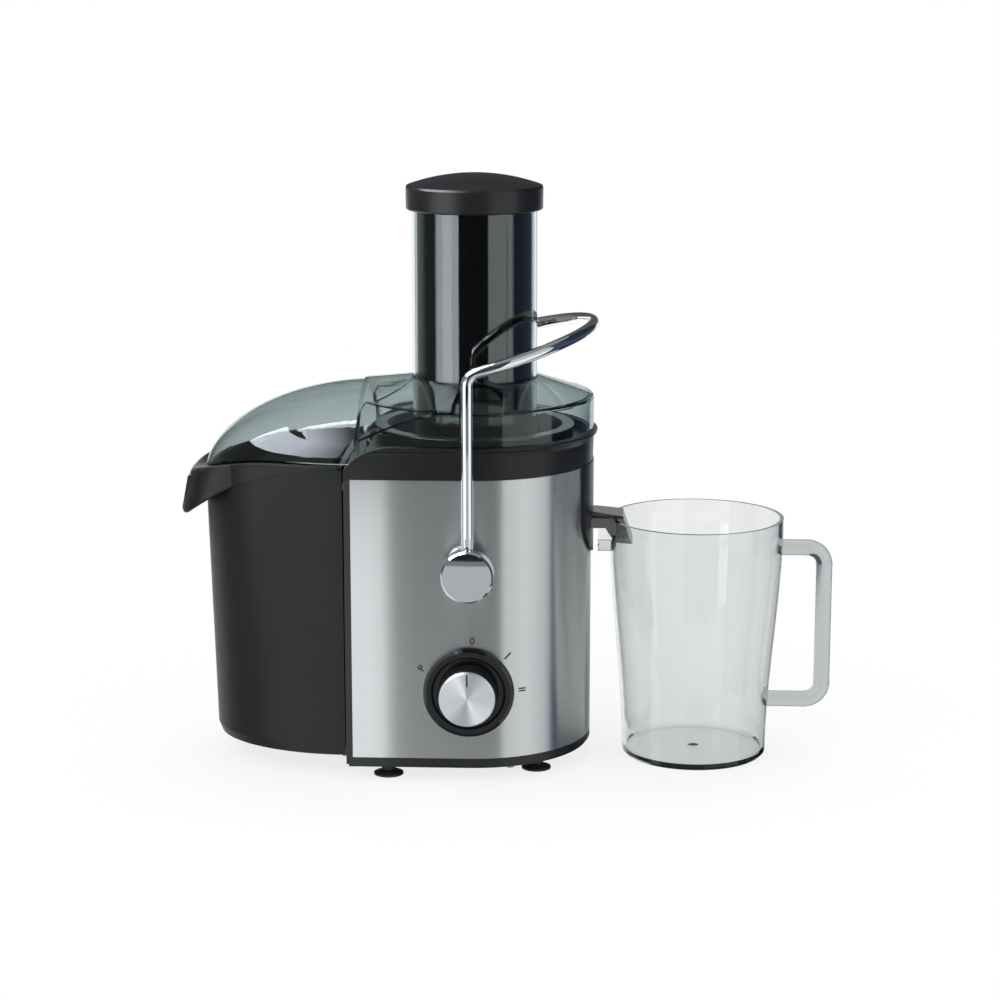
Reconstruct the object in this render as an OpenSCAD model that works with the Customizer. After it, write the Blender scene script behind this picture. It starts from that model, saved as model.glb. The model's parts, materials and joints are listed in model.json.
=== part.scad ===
// Centrifugal juicer: steel-wrapped motor base, clear lid with a wide feed tube, wire locking
// arm, pulp bin on the left and a clear jug under the spout on the right.
// The origin is on the motor axis at table level; +X points to the jug, -Y to the front.

/* [Body] */
// Radius of the steel wrap round the motor axis
body_r = 80; // [77:0.5:83]
// How far the flat left wall stands beyond the body radius
wall_out = 2.5; // [1:0.5:8]
// Height of the base above the table
base_z = 9; // [7:0.5:12]
// Height of the black rim below the steel
rim_h = 7; // [6:0.5:10]
// Height of the steel wrap
wrap_h = 190.6; // [184:0.2:200]
// Thickness of the steel sheet
wrap_t = 0.8; // [0.5:0.1:1.2]
// Wall thickness of the moulded housing
shell_t = 2.5; // [2:0.1:3]
// Width of the black corner strip beside the steel
strip_w = 4.4; // [3:0.2:6]
// Depth of the motor deck below the top of the housing
deck_drop = 53.6; // [52:0.2:56]
// Half width of the spout notch in the steel
notch_r = 30; // [26:0.5:32]
// Height of the centre of the round end of the notch above the deck
notch_rise = 20; // [19:0.5:24]

/* [Feet] */
// Radius of a suction foot
foot_r = 10; // [8:0.5:12]
// Distance of the feet in from the steel
foot_in = 15.8; // [14:0.2:20]
// Distance of the left feet from the flat left wall
foot_wall = 27.1; // [22:0.1:32]
// Angle of the right feet round the motor axis, from the right
foot_angle = 46.4; // [40:0.2:52]

/* [Juice collector] */
// Height of the black ring above the steel
ring_h = 22; // [18:0.5:26]
// How far the lip of the ring stands out from the steel
ring_lip = 4.1; // [3:0.1:4.2]
// Gap between the housing and the collector bowl
bowl_gap = 2.1; // [1:0.1:4]
// Depth of the bowl below the top of the ring
bowl_depth = 65.6; // [64:0.2:67]
// Wall thickness of the collector, lid and chute
mould_t = 2.4; // [2:0.1:3]
// Radius of the round drop at the left end of the ring
drop_r = 40.6; // [36:0.2:44]
// Distance from the flat left wall to where the ring starts to drop
drop_len = 32.5; // [28:0.5:36]

/* [Lid] */
// How far the lid wall stands out from the steel
lid_out = 1.5; // [0:0.1:2]
// Height of the lid wall above the ring
lid_h = 23.8; // [20:0.2:28]
// Rise of the lid roof from the wall to the feed tube
dome_h = 12.1; // [9:0.1:14]
// Distance from the flat left wall to the left end of the lid
lid_back = 7.5; // [6:0.5:10]
// Length of the pulp chute
chute_a = 111; // [109:0.5:113]
// How far the pulp chute hangs over the bin on each side
chute_over = 1; // [0.5:0.1:2]
// Height of the pulp chute above its centre
chute_c = 60.5; // [56:0.5:64]
// How far the back of the chute lies below the top of the lid roof
chute_step = 4; // [2:0.5:6]
// Forward lean of the pulp chute in degrees
chute_lean = 3.5; // [2:0.5:6]
// Rise of the lid roof from the chute to the feed tube in degrees
saddle_lean = 5; // [3:0.5:6]
// How far the lid stands over the chute where they meet
saddle_lip = 1.2; // [0.6:0.1:1.6]
// Radius of the half-round locking bosses on the lid
boss_r = 18.5; // [16:0.5:20]

/* [Feed tube and pusher] */
// Gap between the feed tube and the edge of the basket floor
tube_in = 3.5; // [3:0.1:6]
// Wall thickness of the feed tube
tube_t = 2.5; // [2:0.1:3]
// Height of the feed tube above the lid roof
tube_h = 112.4; // [100:0.2:125]
// Gap between the feed tube and the pusher
pusher_gap = 0.8; // [0.5:0.1:1.5]
// How far the pusher cap stands out from the feed tube
cap_over = 3.85; // [2:0.05:6]
// Height of the straight side of the cap
cap_side = 16.8; // [14:0.2:20]
// Rise of the domed top of the cap
cap_dome = 7.5; // [5:0.5:9]
// Stroke of the pusher
pusher_stroke = 150; // [120:5:160]

/* [Locking arm] */
// Radius of the arm wire
wire_r = 3.9; // [3:0.1:4.2]
// Distance of the arm legs from the steel
leg_out = 9.5; // [9:0.1:11]
// Height of the pivots below the top of the steel
pivot_drop = 61.6; // [60:0.2:63]
// Height of the straight legs above the pivots
leg_h = 126; // [124:0.5:134]
// Radius of the bend at the top of each leg
bend_r = 9; // [7:0.5:12]
// Slope of the arm loop in degrees
loop_slope = 15.9; // [13:0.1:20]
// Length of the arm loop past the bends
loop_len = 77.4; // [74:0.2:84]
// Radius of the two corners of the arm loop
loop_corner = 62; // [56:1:66]
// Radius of the chromed pivot disc
disc_r = 17.4; // [15:0.2:20]
// Thickness of the chromed pivot disc
disc_t = 13.7; // [12:0.1:15]
// Radius of the pivot pin
pin_r = 4; // [3:0.1:4.5]

/* [Speed dial] */
// Height of the dial above the bottom of the steel
dial_rise = 46.5; // [44:0.5:52]
// Radius of the black dial ring
dial_r = 30.7; // [28:0.1:34]
// Radius of the dial knob
knob_r = 20; // [17:0.5:22]
// Length of the dial knob
knob_len = 15.5; // [12:0.5:18]
// Radius of the silver cap on the knob
knob_cap_r = 18.6; // [15:0.2:19]

/* [Spout] */
// Half width of the spout
spout_w = 14; // [12:0.5:15]
// Length of the spout past the steel
spout_len = 28.7; // [26:0.1:30]
// Depth of the spout nozzle below the top of the spout
spout_drop = 22.6; // [20:0.1:23]
// Wall thickness of the spout
spout_t = 2; // [1.6:0.1:2.4]

/* [Pulp bin] */
// Gap between the housing and the bin
bin_gap = 1.5; // [1:0.1:3]
// Length of the bin at its rim
bin_a = 102; // [98:0.5:106]
// How much narrower than the steel the bin is on each side
bin_in = 4; // [2:0.2:5]
// Inward taper of the bin wall from rim to bottom
bin_taper = 5.6; // [3:0.2:7]
// Height of the bottom edge of the bin above the table
bin_z = 12.5; // [11:0.5:14]
// Wall thickness of the bin
bin_t = 2.5; // [2:0.1:3]
// How far the bin handle stands out from the rim
grip_out = 14; // [10:0.5:18]
// Travel of the bin when it is pulled off
bin_travel = 120; // [100:5:150]

/* [Jug] */
// Distance from the tip of the spout to the jug axis
jug_reach = 43.8; // [43:0.1:50]
// Outer radius of the jug at its rim
jug_r = 59.7; // [58:0.1:61]
// Outer radius of the jug at its foot
jug_foot_r = 49.7; // [46:0.1:52]
// Height of the top of the spout above the rim of the jug
jug_drop = 5; // [3:0.5:8]
// Wall thickness of the jug
jug_t = 2.6; // [2:0.1:3]
// Depth of the pouring notch in the jug rim
beak_drop = 22; // [21:0.5:26]
// Radius of the round bar of the jug handle
handle_r = 5.5; // [4:0.5:7]
// How far the jug handle stands out from the rim
handle_out = 34; // [30:1:42]

/* [Filter basket] */
// Gap between the rim of the basket wall and the bowl
basket_gap = 13.5; // [12:0.5:16]
// How much wider the basket is at its rim than at its floor
basket_lean = 15; // [10:0.5:18]
// Thickness of the basket sheet
basket_t = 1; // [0.8:0.1:1.4]
// Number of sieve slots round the basket
sieve_cols = 30; // [18:2:36]
// Number of rows of sieve slots
sieve_rows = 4; // [3:1:4]
// Number of curved rows of grater teeth
tooth_rows = 6; // [4:1:8]
// Number of teeth in each row
teeth_per_row = 8; // [5:1:9]
// Height of a grater tooth
tooth_h = 1.8; // [1:0.1:2.4]

/* [Motor] */
// Radius of the motor shaft
shaft_r = 4; // [3:0.1:5]
// Height of the stator stack
stator_h = 42; // [36:1:46]
// Width of the stator stack
stator_w = 64; // [58:1:68]
// Radius of the armature
armature_r = 21; // [18:0.5:22]
// Air gap between armature and stator
air_gap = 0.6; // [0.4:0.1:1]
// Height of the rubber motor mounts
mount_h = 8; // [6:0.5:10]

/* [Hidden] */

$fn = 96;
eps = 0.01;
snug = 0.1;      // play between pieces that are fixed to each other
run_gap = 0.3;   // play between pieces that move past each other
pin_play = 0.05; // radial play of a pin or shaft in its bore
joint_trim = 0.1; // degrees left off each end of a wire bend, inside its joint
far = 400;       // longer than anything here, for cutters

// Heights, from the table up
floor_t = shell_t;
wrap_z = base_z + rim_h;
wrap_top = wrap_z + wrap_h;
deck_z = wrap_top - deck_drop;
notch_z = deck_z + notch_rise;
ring_top = wrap_top + ring_h;
bowl_z = ring_top - bowl_depth;
lid_top = ring_top + lid_h;
roof_z = lid_top + dome_h;
tube_top = roof_z + tube_h;
pivot_z = wrap_top - pivot_drop;
dial_z = wrap_z + dial_rise;
spout_top = bowl_z + 9;
jug_h = spout_top - jug_drop;

// Radii and offsets of the body
wall_x = body_r + wall_out;
inner_r = body_r - wrap_t - snug;
room_r = inner_r - shell_t;
room_x = wall_x - shell_t;
strip_x = wall_x - strip_w;
foot_left_x = wall_x - foot_wall;
leg_y = body_r + leg_out;
bowl_r = room_r - bowl_gap;
drop_x = wall_x - drop_len;
lid_r = body_r + lid_out;
lid_x = wall_x - lid_back;
bin_b = body_r - bin_in;
chute_b = bin_b + chute_over;
basket_rim_r = bowl_r - basket_gap;
basket_r = basket_rim_r - basket_lean;
tube_r = basket_r - tube_in;
cap_r = tube_r + cap_over;
spout_x = body_r + spout_len;
jug_x = spout_x + jug_reach;

// Rotor stack, from the collector floor up
hub_in = shaft_r + 10.5;
hub_out = hub_in + mould_t;
hub_top = bowl_z + 8;
coupling_r = hub_in - 2;
coupling_z = bowl_z - 4;
coupling_top = bowl_z + 11;
basket_z = coupling_top + 2;
grater_z = basket_z + basket_t;
basket_top = ring_top + 3;
tube_z = grater_z + basket_t + tooth_h + 3.5;

// Left end of the ring and lid: a round drop down to the height of the bin rim
drop_z = ring_top - drop_r;
sill_z = drop_z + sqrt(pow(drop_r, 2) - pow(wall_x - drop_x, 2));

// Pulp bin
bin_x = wall_x + bin_gap;
bin_rim_z = sill_z + 2;
bin_arc_x = bin_x + 41;
bin_arc_r = 150;
bin_collar_r = 175;
bin_floor_z = bin_z + 5;
bin_wall_top = bin_rim_z - 17;
shelf_w = 36;
shelf_len = 44;

lug_drop = 6;

// Front wall pieces
front_y = -body_r;
disc_y = leg_y - disc_t / 2 + 1.6;
bush_r = disc_r - 0.9;
neck_r = pin_r + 1.4; // keeps the neck under the motor deck

// Motor, hung from the deck
deck_low = deck_z - shell_t;
bracket_t = 3;
bracket_z = deck_low - mount_h - bracket_t;
mount_pos = 26;
// the motor's own lengths shrink or grow with the room between its bracket and the base
motor_k = (bracket_z - wrap_z) / 123.5;
stack_h = stator_h * motor_k;
fan_z = bracket_z - 20 * motor_k;
stator_top = bracket_z - 31 * motor_k;
stator_z = stator_top - stack_h;
bearing_h = 7;
bearing_r = shaft_r + 7;
low_bracket_z = stator_z - 38 * motor_k;
shaft_bottom = low_bracket_z - 1;
comm_z = stator_z - 21 * motor_k;
comm_h = 14 * motor_k;
end_h = 6 * motor_k;

// ---------- shared shapes ----------

// Plan of the body: a half circle on the right that runs on straight to the flat left wall
module d_plan(r, w) {
    difference() {
        union() {
            circle(r = r);
            translate([-w, -r]) square([w, 2 * r]);
        }
        translate([-far - w, -far / 2]) square(far);
    }
}

// A profile in radius and height, turned round the right half and run straight to the left
module d_sweep(len) {
    rotate([0, 0, -90]) rotate_extrude(angle = 180) children();
    translate([-len, 0, 0]) rotate([90, 0, 90]) linear_extrude(len) {
        children();
        mirror([1, 0]) children();
    }
}

// A side view in X and Z, run across Y
module across(half) {
    translate([0, half, 0]) rotate([90, 0, 0]) linear_extrude(2 * half) children();
}

// A round bar or hole along Y from y0 to y1
module y_bar(r, y0, y1) {
    translate([0, y1, 0]) rotate([90, 0, 0]) cylinder(r = r, h = y1 - y0);
}

// Part of a round ring of wire in the X and Z plane, from angle a0 to a1
module wire_bend(ring, r, a0, a1) {
    rotate([90, 0, 0]) wire_arc(ring, r, a0, a1);
}

// The same in the X and Y plane, a hair short at both ends
module wire_arc(ring, r, a0, a1) {
    rotate([0, 0, a0 + joint_trim]) rotate_extrude(angle = a1 - a0 - 2 * joint_trim)
        translate([ring, 0]) circle(r = r, $fn = 32);
}

// Short sleeve that joins two lengths of wire end to end
module joint(r) {
    cylinder(r = r + 0.15, h = 1.6, center = true, $fn = 32);
}

// A profile in radius and distance from the middle, turned about an axis along Y
module y_turn(side) {
    rotate([90 * side, 0, 0]) rotate_extrude() children();
}

// Rectangle with rounded corners, made of circles and squares
module round_rect(w, h, r) {
    translate([-w / 2 + r, -h / 2]) square([w - 2 * r, h]);
    translate([-w / 2, -h / 2 + r]) square([w, h - 2 * r]);
    for (sx = [-1, 1], sy = [-1, 1]) translate([sx * (w / 2 - r), sy * (h / 2 - r)]) circle(r = r);
}

// Side view of all that lies above the round drop at the left end of the ring
module above_drop(lift = 0) {
    difference() {
        translate([-far, drop_z + lift]) square([far - drop_x, far]);
        translate([-drop_x, drop_z + lift]) circle(r = drop_r);
    }
}

// Side view of all that lies above the curved rim of the bin
module above_rim(lift = 0) {
    difference() {
        translate([-far, bin_rim_z - 60 + lift]) square([far - bin_x + bin_gap, far]);
        translate([-bin_arc_x, bin_rim_z - 61 + lift]) square([60, 61]);
        translate([-bin_arc_x, bin_rim_z - bin_arc_r + lift]) circle(r = bin_arc_r, $fn = 180);
    }
}

// The outline of the spout notch, seen along X, with the round end down
module notch_plan(r, top) {
    circle(r = r);
    translate([-r, 0]) square([2 * r, top - notch_z]);
}

module notch_cutter(r, top) {
    translate([body_r / 2, 0, notch_z]) rotate([90, 0, 90]) linear_extrude(body_r) notch_plan(r, top);
}

// A hole along Y through the front (side -1) or rear (side 1) wall of the housing and steel
module wall_hole(r, side) {
    y_bar(r, side > 0 ? room_r - 6 : -body_r - 10, side > 0 ? body_r + 10 : -room_r + 6);
}

// ---------- base and feet ----------

foot_ring = body_r - foot_in;

function foot_at(i) = [
    [-foot_left_x, -foot_ring],
    [foot_ring * cos(foot_angle), -foot_ring * sin(foot_angle)],
    [-foot_left_x, foot_ring],
    [foot_ring * cos(foot_angle), foot_ring * sin(foot_angle)]
][i];

boss_ring = room_r - 4;
function screw_at(i) = [
    [boss_ring * cos(68), -boss_ring * sin(68)], [boss_ring * cos(68), boss_ring * sin(68)],
    [-room_x + 4, -42], [-room_x + 4, 42]
][i];

screw_r = 1.6;

module base_plate() {
    color([0.09, 0.09, 0.1]) difference() {
        union() {
            translate([0, 0, base_z + 2]) linear_extrude(rim_h - 2) d_plan(body_r, wall_x);
            translate([0, 0, base_z]) linear_extrude(2 + eps) d_plan(body_r - 1.5, wall_x - 1.5);
            // locating lip that stands up inside the housing
            linear_extrude(wrap_z + 4) d_plan(room_r - snug, room_x - snug);
            // shelf that carries the pulp bin
            translate([-wall_x - shelf_len, -shelf_w, base_z + 2])
                cube([shelf_len + 5, 2 * shelf_w, rim_h - 2]);
            translate([-wall_x - shelf_len, -shelf_w, base_z + 3])
                cube([shelf_len - 1, 2 * shelf_w, bin_floor_z - run_gap - base_z - 3]);
        }
        translate([-wall_x - 1, -body_r - 1, -1]) cube([3 * body_r, 3 * body_r, base_z + 1]);
        translate([0, 0, base_z + floor_t]) linear_extrude(far) d_plan(room_r - 2, room_x - 2);
        for (i = [0:3]) translate([screw_at(i)[0], screw_at(i)[1], base_z + floor_t])
            cylinder(r = 5.2, h = far);
        for (i = [-4:4]) translate([6 + 8 * i, 0, base_z - 1]) linear_extrude(floor_t + 2)
            square([3.2, 56], center = true);
        for (i = [0:3]) translate([foot_at(i)[0], foot_at(i)[1], base_z - 1])
            cylinder(r = screw_r + 0.2, h = floor_t + 2);
        for (i = [0:3]) translate([screw_at(i)[0], screw_at(i)[1], base_z - 1])
            cylinder(r = screw_r + 0.2, h = floor_t + 2);
    }
    // bosses that take the foot screws
    color([0.09, 0.09, 0.1]) for (i = [0:3])
        translate([foot_at(i)[0], foot_at(i)[1], base_z + floor_t - eps]) difference() {
            cylinder(r = 5, h = 9);
            translate([0, 0, -1]) cylinder(r = screw_r, h = 8);
        }
}

module foot(i) {
    color([0.07, 0.07, 0.08]) translate([foot_at(i)[0], foot_at(i)[1], 0]) rotate_extrude()
        polygon([
            [foot_r - 3, 0], [foot_r, 0], [foot_r, 1.2], [foot_r - 3.5, 2.6], [4.6, 3.6],
            [4.6, base_z - 1.5], [6, base_z - 1.5], [6, base_z], [screw_r + 0.2, base_z],
            [screw_r + 0.2, base_z - 3], [3.3, base_z - 3], [3.3, 1.4], [foot_r - 4, 1.2]
        ]);
}

// A pan-head screw with its head down
module screw(len, head_r) {
    rotate_extrude() polygon([
        [0, -2], [head_r - 0.6, -2], [head_r, -1.2], [head_r, 0], [screw_r, 0],
        [screw_r, len - 1], [screw_r - 0.8, len], [0, len]
    ]);
}

module foot_screws() {
    color("silver") for (i = [0:3])
        translate([foot_at(i)[0], foot_at(i)[1], base_z - 3]) screw(9, 3);
}

module base_screws() {
    color("silver") for (i = [0:3])
        translate([screw_at(i)[0], screw_at(i)[1], base_z]) screw(14, 3.4);
}

// ---------- housing and steel ----------

gland_z = wrap_z + 22;
gland_x = -30;

module housing() {
    color([0.08, 0.08, 0.09]) difference() {
        union() {
            difference() {
                union() {
                    translate([0, 0, wrap_z]) linear_extrude(wrap_h) d_plan(inner_r, wall_x);
                    // corner strips, flush with the steel
                    for (s = [-1, 1]) translate([-wall_x, s > 0 ? inner_r - 4 : -body_r, wrap_z])
                        cube([strip_w - snug, wrap_t + snug + 4, wrap_h]);
                }
                translate([0, 0, wrap_z - 1]) linear_extrude(far) d_plan(room_r, room_x);
            }
            // lugs that carry the motor deck
            for (a = [-45, 45]) rotate(a) translate([room_r - 4, -4, deck_low - lug_drop])
                cube([4.5, 8, lug_drop]);
            for (s = [-1, 1]) translate([-room_x - 0.5, s * (room_r - 16) - 4, deck_low - lug_drop])
                cube([4.5, 8, lug_drop]);
            // screw columns for the base
            for (i = [0:3]) translate([screw_at(i)[0], screw_at(i)[1], base_z + floor_t])
                cylinder(r = 4.7, h = 30);
        }
        // notch for the spout above the deck
        intersection() {
            notch_cutter(notch_r + 0.5, far);
            translate([0, -far / 2, deck_z]) cube([far, far, far]);
        }
        for (i = [0:3]) translate([screw_at(i)[0], screw_at(i)[1], base_z])
            cylinder(r = screw_r, h = 22);
        // holes for the pivots, the switch neck and the cord gland
        for (s = [-1, 1]) translate([0, 0, pivot_z]) wall_hole(neck_r + snug, s);
        translate([0, 0, dial_z]) wall_hole(4.7, -1);
        translate([gland_x, 0, gland_z]) wall_hole(6.1, 1);
    }
}

// Plate across the housing that carries the motor
module motor_deck() {
    color([0.1, 0.1, 0.11]) difference() {
        union() {
            translate([0, 0, deck_low]) linear_extrude(shell_t) d_plan(room_r, room_x);
            // pads for the motor mounts
            for (sx = [-1, 1], sy = [-1, 1])
                translate([sx * mount_pos, sy * mount_pos, deck_low - 2]) cylinder(r = 7, h = 3);
        }
        translate([0, 0, deck_low - 3]) cylinder(r = shaft_r + 6, h = shell_t + 4);
    }
}

module steel_wrap() {
    color([0.72, 0.72, 0.73]) difference() {
        translate([0, 0, wrap_z]) linear_extrude(wrap_h - run_gap) difference() {
            d_plan(body_r, strip_x);
            d_plan(inner_r + snug, strip_x + 1);
        }
        notch_cutter(notch_r + 0.5, far);
        for (s = [-1, 1]) translate([0, 0, pivot_z]) wall_hole(neck_r + snug, s);
        translate([0, 0, dial_z]) wall_hole(4.7, -1);
        translate([gland_x, 0, gland_z]) wall_hole(6.1, 1);
    }
}

// Grommet in the rear wall for the mains lead
module cord_gland() {
    color([0.06, 0.06, 0.07]) translate([gland_x, 0, gland_z]) y_turn(-1) polygon([
        [3.2, room_r - 3], [6, room_r - 3], [6, body_r], [9, body_r], [9, body_r + 2],
        [7.5, body_r + 4], [6, body_r + 5], [3.2, body_r + 5]
    ]);
}

// ---------- speed dial ----------

dial_back = body_r + 1.2;
knob_y = body_r + 2;

module dial_ring() {
    color([0.1, 0.1, 0.12]) translate([0, 0, dial_z]) y_turn(1) polygon([
        [4.7, body_r], [dial_r - 0.8, body_r], [dial_r, body_r + 1], [dial_r - 0.4, body_r + 2.6],
        [dial_r - 2.5, body_r + 4], [knob_r + 5, body_r + 4], [knob_r + 3.4, body_r + 3],
        [knob_r + 0.6, body_r + 3], [knob_r + 0.6, dial_back], [4.7, dial_back]
    ]);
}

module dial_knob() {
    color([0.07, 0.07, 0.08]) translate([0, 0, dial_z]) {
        y_turn(1) polygon([
            [0, knob_y], [knob_r, knob_y], [knob_r - 0.2, knob_y + 2], [knob_r - 0.8, knob_y + knob_len - 1],
            [knob_r - 1.4, knob_y + knob_len], [0, knob_y + knob_len]
        ]);
        // spindle into the switch
        y_bar(3, -knob_y - 1, -room_r + 12);
    }
}

module dial_cap() {
    color([0.8, 0.8, 0.82]) translate([0, 0, dial_z]) difference() {
        y_turn(1) polygon([
            [0, knob_y + knob_len], [knob_cap_r, knob_y + knob_len], [knob_cap_r, knob_y + knob_len + 1.2],
            [knob_cap_r - 0.8, knob_y + knob_len + 2], [0, knob_y + knob_len + 2]
        ]);
        // pointer groove
        translate([-0.6, -knob_y - knob_len - 3, knob_cap_r * 0.42]) cube([1.2, 1.6, knob_cap_r * 0.5]);
    }
}

module selector_switch() {
    color([0.85, 0.83, 0.76]) difference() {
        union() {
            translate([-15, -room_r + 4, dial_z - 14]) cube([30, 18, 28]);
            translate([0, 0, dial_z]) y_bar(4.6, -dial_back + snug, -room_r + 5);
            translate([0, 0, dial_z]) y_bar(9, -sqrt(pow(room_r, 2) - 81) + 0.5, -room_r + 5);
            for (i = [-1, 0, 1]) translate([i * 9 - 2, -room_r + 21, dial_z - 3]) cube([4, 7, 6]);
        }
        translate([0, 0, dial_z]) y_bar(3 + pin_play, -dial_back - 1, -room_r + 14);
    }
}

// Small board with the rectifier, screwed to the left wall
module speed_board() {
    color([0.1, 0.35, 0.2]) {
        translate([-room_x, -24, wrap_z + 30]) cube([5, 6, 6]);
        translate([-room_x, 18, wrap_z + 30]) cube([5, 6, 6]);
        translate([-room_x + 5, -26, wrap_z + 24]) cube([1.6, 52, 40]);
        translate([-room_x + 6.6, -16, wrap_z + 44]) cube([9, 12, 14]);
        translate([-room_x + 6.6, 4, wrap_z + 42]) cube([7, 12, 12]);
    }
}

// ---------- locking arm ----------

// The loop lies in a sloping plane; its two corners and its end are arcs that meet smoothly
corner_v = leg_y - loop_corner;
loop_u = (pow(loop_len - loop_corner, 2) - pow(corner_v, 2)) / (2 * (loop_len - loop_corner));
end_r = loop_len - loop_u;
end_angle = atan2(corner_v, -loop_u);
leg_top = pivot_z + leg_h;
turn = 90 - loop_slope;

module arm_wire() {
    color([0.85, 0.85, 0.87]) {
        for (s = [-1, 1]) {
            translate([0, s * leg_y, pivot_z + 5]) cylinder(r = wire_r, h = leg_h - 5, $fn = 32);
            translate([0, s * leg_y, leg_top]) joint(wire_r);
            translate([bend_r, s * leg_y, leg_top]) wire_bend(bend_r, wire_r, 180 - turn, 180);
        }
        translate([bend_r - bend_r * cos(turn), 0, leg_top + bend_r * sin(turn)])
            rotate([0, -loop_slope, 0]) {
                for (s = [-1, 1]) {
                    translate([0, s * leg_y, 0]) rotate([0, 90, 0]) joint(wire_r);
                    translate([0, s * corner_v, 0])
                        wire_arc(loop_corner, wire_r, s > 0 ? end_angle : -90, s > 0 ? 90 : -end_angle);
                    translate([loop_u, 0, 0]) rotate([0, 0, s * end_angle])
                        translate([end_r, 0, 0]) rotate([90, 0, 0]) joint(wire_r);
                }
                translate([loop_u, 0, 0]) wire_arc(end_r, wire_r, -end_angle, end_angle);
            }
    }
}

module pivot_disc(s) {
    color([0.85, 0.85, 0.87]) difference() {
        translate([0, 0, pivot_z]) y_turn(-s) polygon([
            [0, disc_y], [disc_r - 1, disc_y], [disc_r, disc_y + 1], [disc_r, disc_y + disc_t - 1.2],
            [disc_r - 1.2, disc_y + disc_t], [0, disc_y + disc_t]
        ]);
        translate([0, s * leg_y, pivot_z + 5]) cylinder(r = wire_r, h = disc_r + 5, $fn = 32);
        translate([0, 0, pivot_z]) y_bar(pin_r, s > 0 ? disc_y - 1 : -disc_y - 4, s > 0 ? disc_y + 4 : -disc_y + 1);
    }
}

module pivot_pin(s) {
    color([0.6, 0.6, 0.62]) translate([0, 0, pivot_z]) y_turn(-s) polygon([
        [0, room_r - 9], [neck_r, room_r - 9], [neck_r, room_r - 7], [pin_r, room_r - 7],
        [pin_r, disc_y + 4], [0, disc_y + 4]
    ]);
}

module pivot_bush(s) {
    color([0.08, 0.08, 0.09]) translate([0, 0, pivot_z]) y_turn(-s) polygon([
        [pin_r + pin_play, room_r - 7 + run_gap], [neck_r, room_r - 7 + run_gap], [neck_r, body_r],
        [bush_r, body_r], [bush_r, disc_y - run_gap], [pin_r + pin_play, disc_y - run_gap]
    ]);
}

// Cut-out switch beside the front pivot, screwed under the deck
module safety_switch() {
    color([0.12, 0.12, 0.13]) {
        translate([9, -room_r + 8, deck_low - 18]) cube([20, 9, 12]);
        translate([11, -room_r + 10, deck_low - 7]) cube([4, 5, 7]);
        translate([23, -room_r + 10, deck_low - 7]) cube([4, 5, 7]);
    }
}

// ---------- motor ----------

module stator_plan() {
    difference() {
        round_rect(stator_w, stator_w - 8, 8);
        circle(r = armature_r + air_gap);
        for (s = [-1, 1]) translate([0, s * (armature_r + 1.5)]) square([30, 5], center = true);
    }
}

module stator() {
    color([0.45, 0.46, 0.48]) translate([0, 0, stator_z]) linear_extrude(stack_h) stator_plan();
}

// Two field windings that wrap the poles above and below the stack
module field_coils() {
    color([0.72, 0.38, 0.18]) for (s = [-1, 1], z = [stator_top, stator_z - 7])
        translate([0, 0, z]) linear_extrude(7) difference() {
            translate([s * (stator_w / 2 - 10.2), 0]) square([10, stator_w - 24], center = true);
            circle(r = armature_r + 2);
        }
}

module armature() {
    color([0.5, 0.48, 0.46]) {
        translate([0, 0, stator_z]) linear_extrude(stack_h) difference() {
            circle(r = armature_r);
            for (i = [0:11]) rotate(i * 30) translate([armature_r - 1, 0]) square([4, 2], center = true);
            circle(r = shaft_r);
        }
        for (z = [stator_top, stator_z - end_h]) translate([0, 0, z]) difference() {
            cylinder(r = armature_r - 3, h = end_h);
            translate([0, 0, -1]) cylinder(r = shaft_r, h = end_h + 2);
        }
    }
}

module commutator() {
    color([0.75, 0.45, 0.25]) translate([0, 0, comm_z]) linear_extrude(comm_h) difference() {
        circle(r = 10);
        for (i = [0:23]) rotate(i * 15) translate([10, 0]) square([1.6, 0.5], center = true);
        circle(r = shaft_r);
    }
}

module brush(s) {
    color([0.65, 0.55, 0.25]) {
        translate([-3.5, s > 0 ? 10 + run_gap : -28, comm_z + 3]) cube([7, 18 - run_gap, 8]);
        translate([-5, s > 0 ? 16 : -29, comm_z + 1.5]) difference() {
            cube([10, 13, 11]);
            translate([1.5, -1, 1.5]) cube([7, 13, 8]);
        }
    }
}

module motor_shaft() {
    color("silver") translate([0, 0, shaft_bottom]) cylinder(r = shaft_r, h = coupling_top - 1 - shaft_bottom);
}

module bearing(z) {
    color([0.62, 0.63, 0.65]) translate([0, 0, z]) rotate_extrude() polygon([
        [shaft_r + pin_play, 0], [shaft_r + 2, 0], [shaft_r + 2, 0.6], [bearing_r - 2, 0.6],
        [bearing_r - 2, 0], [bearing_r, 0], [bearing_r, bearing_h], [shaft_r + pin_play, bearing_h]
    ]);
}

low_bearing_z = low_bracket_z + bracket_t - 1;
up_bearing_z = bracket_z - bearing_h + bracket_t - 1.5;

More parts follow.
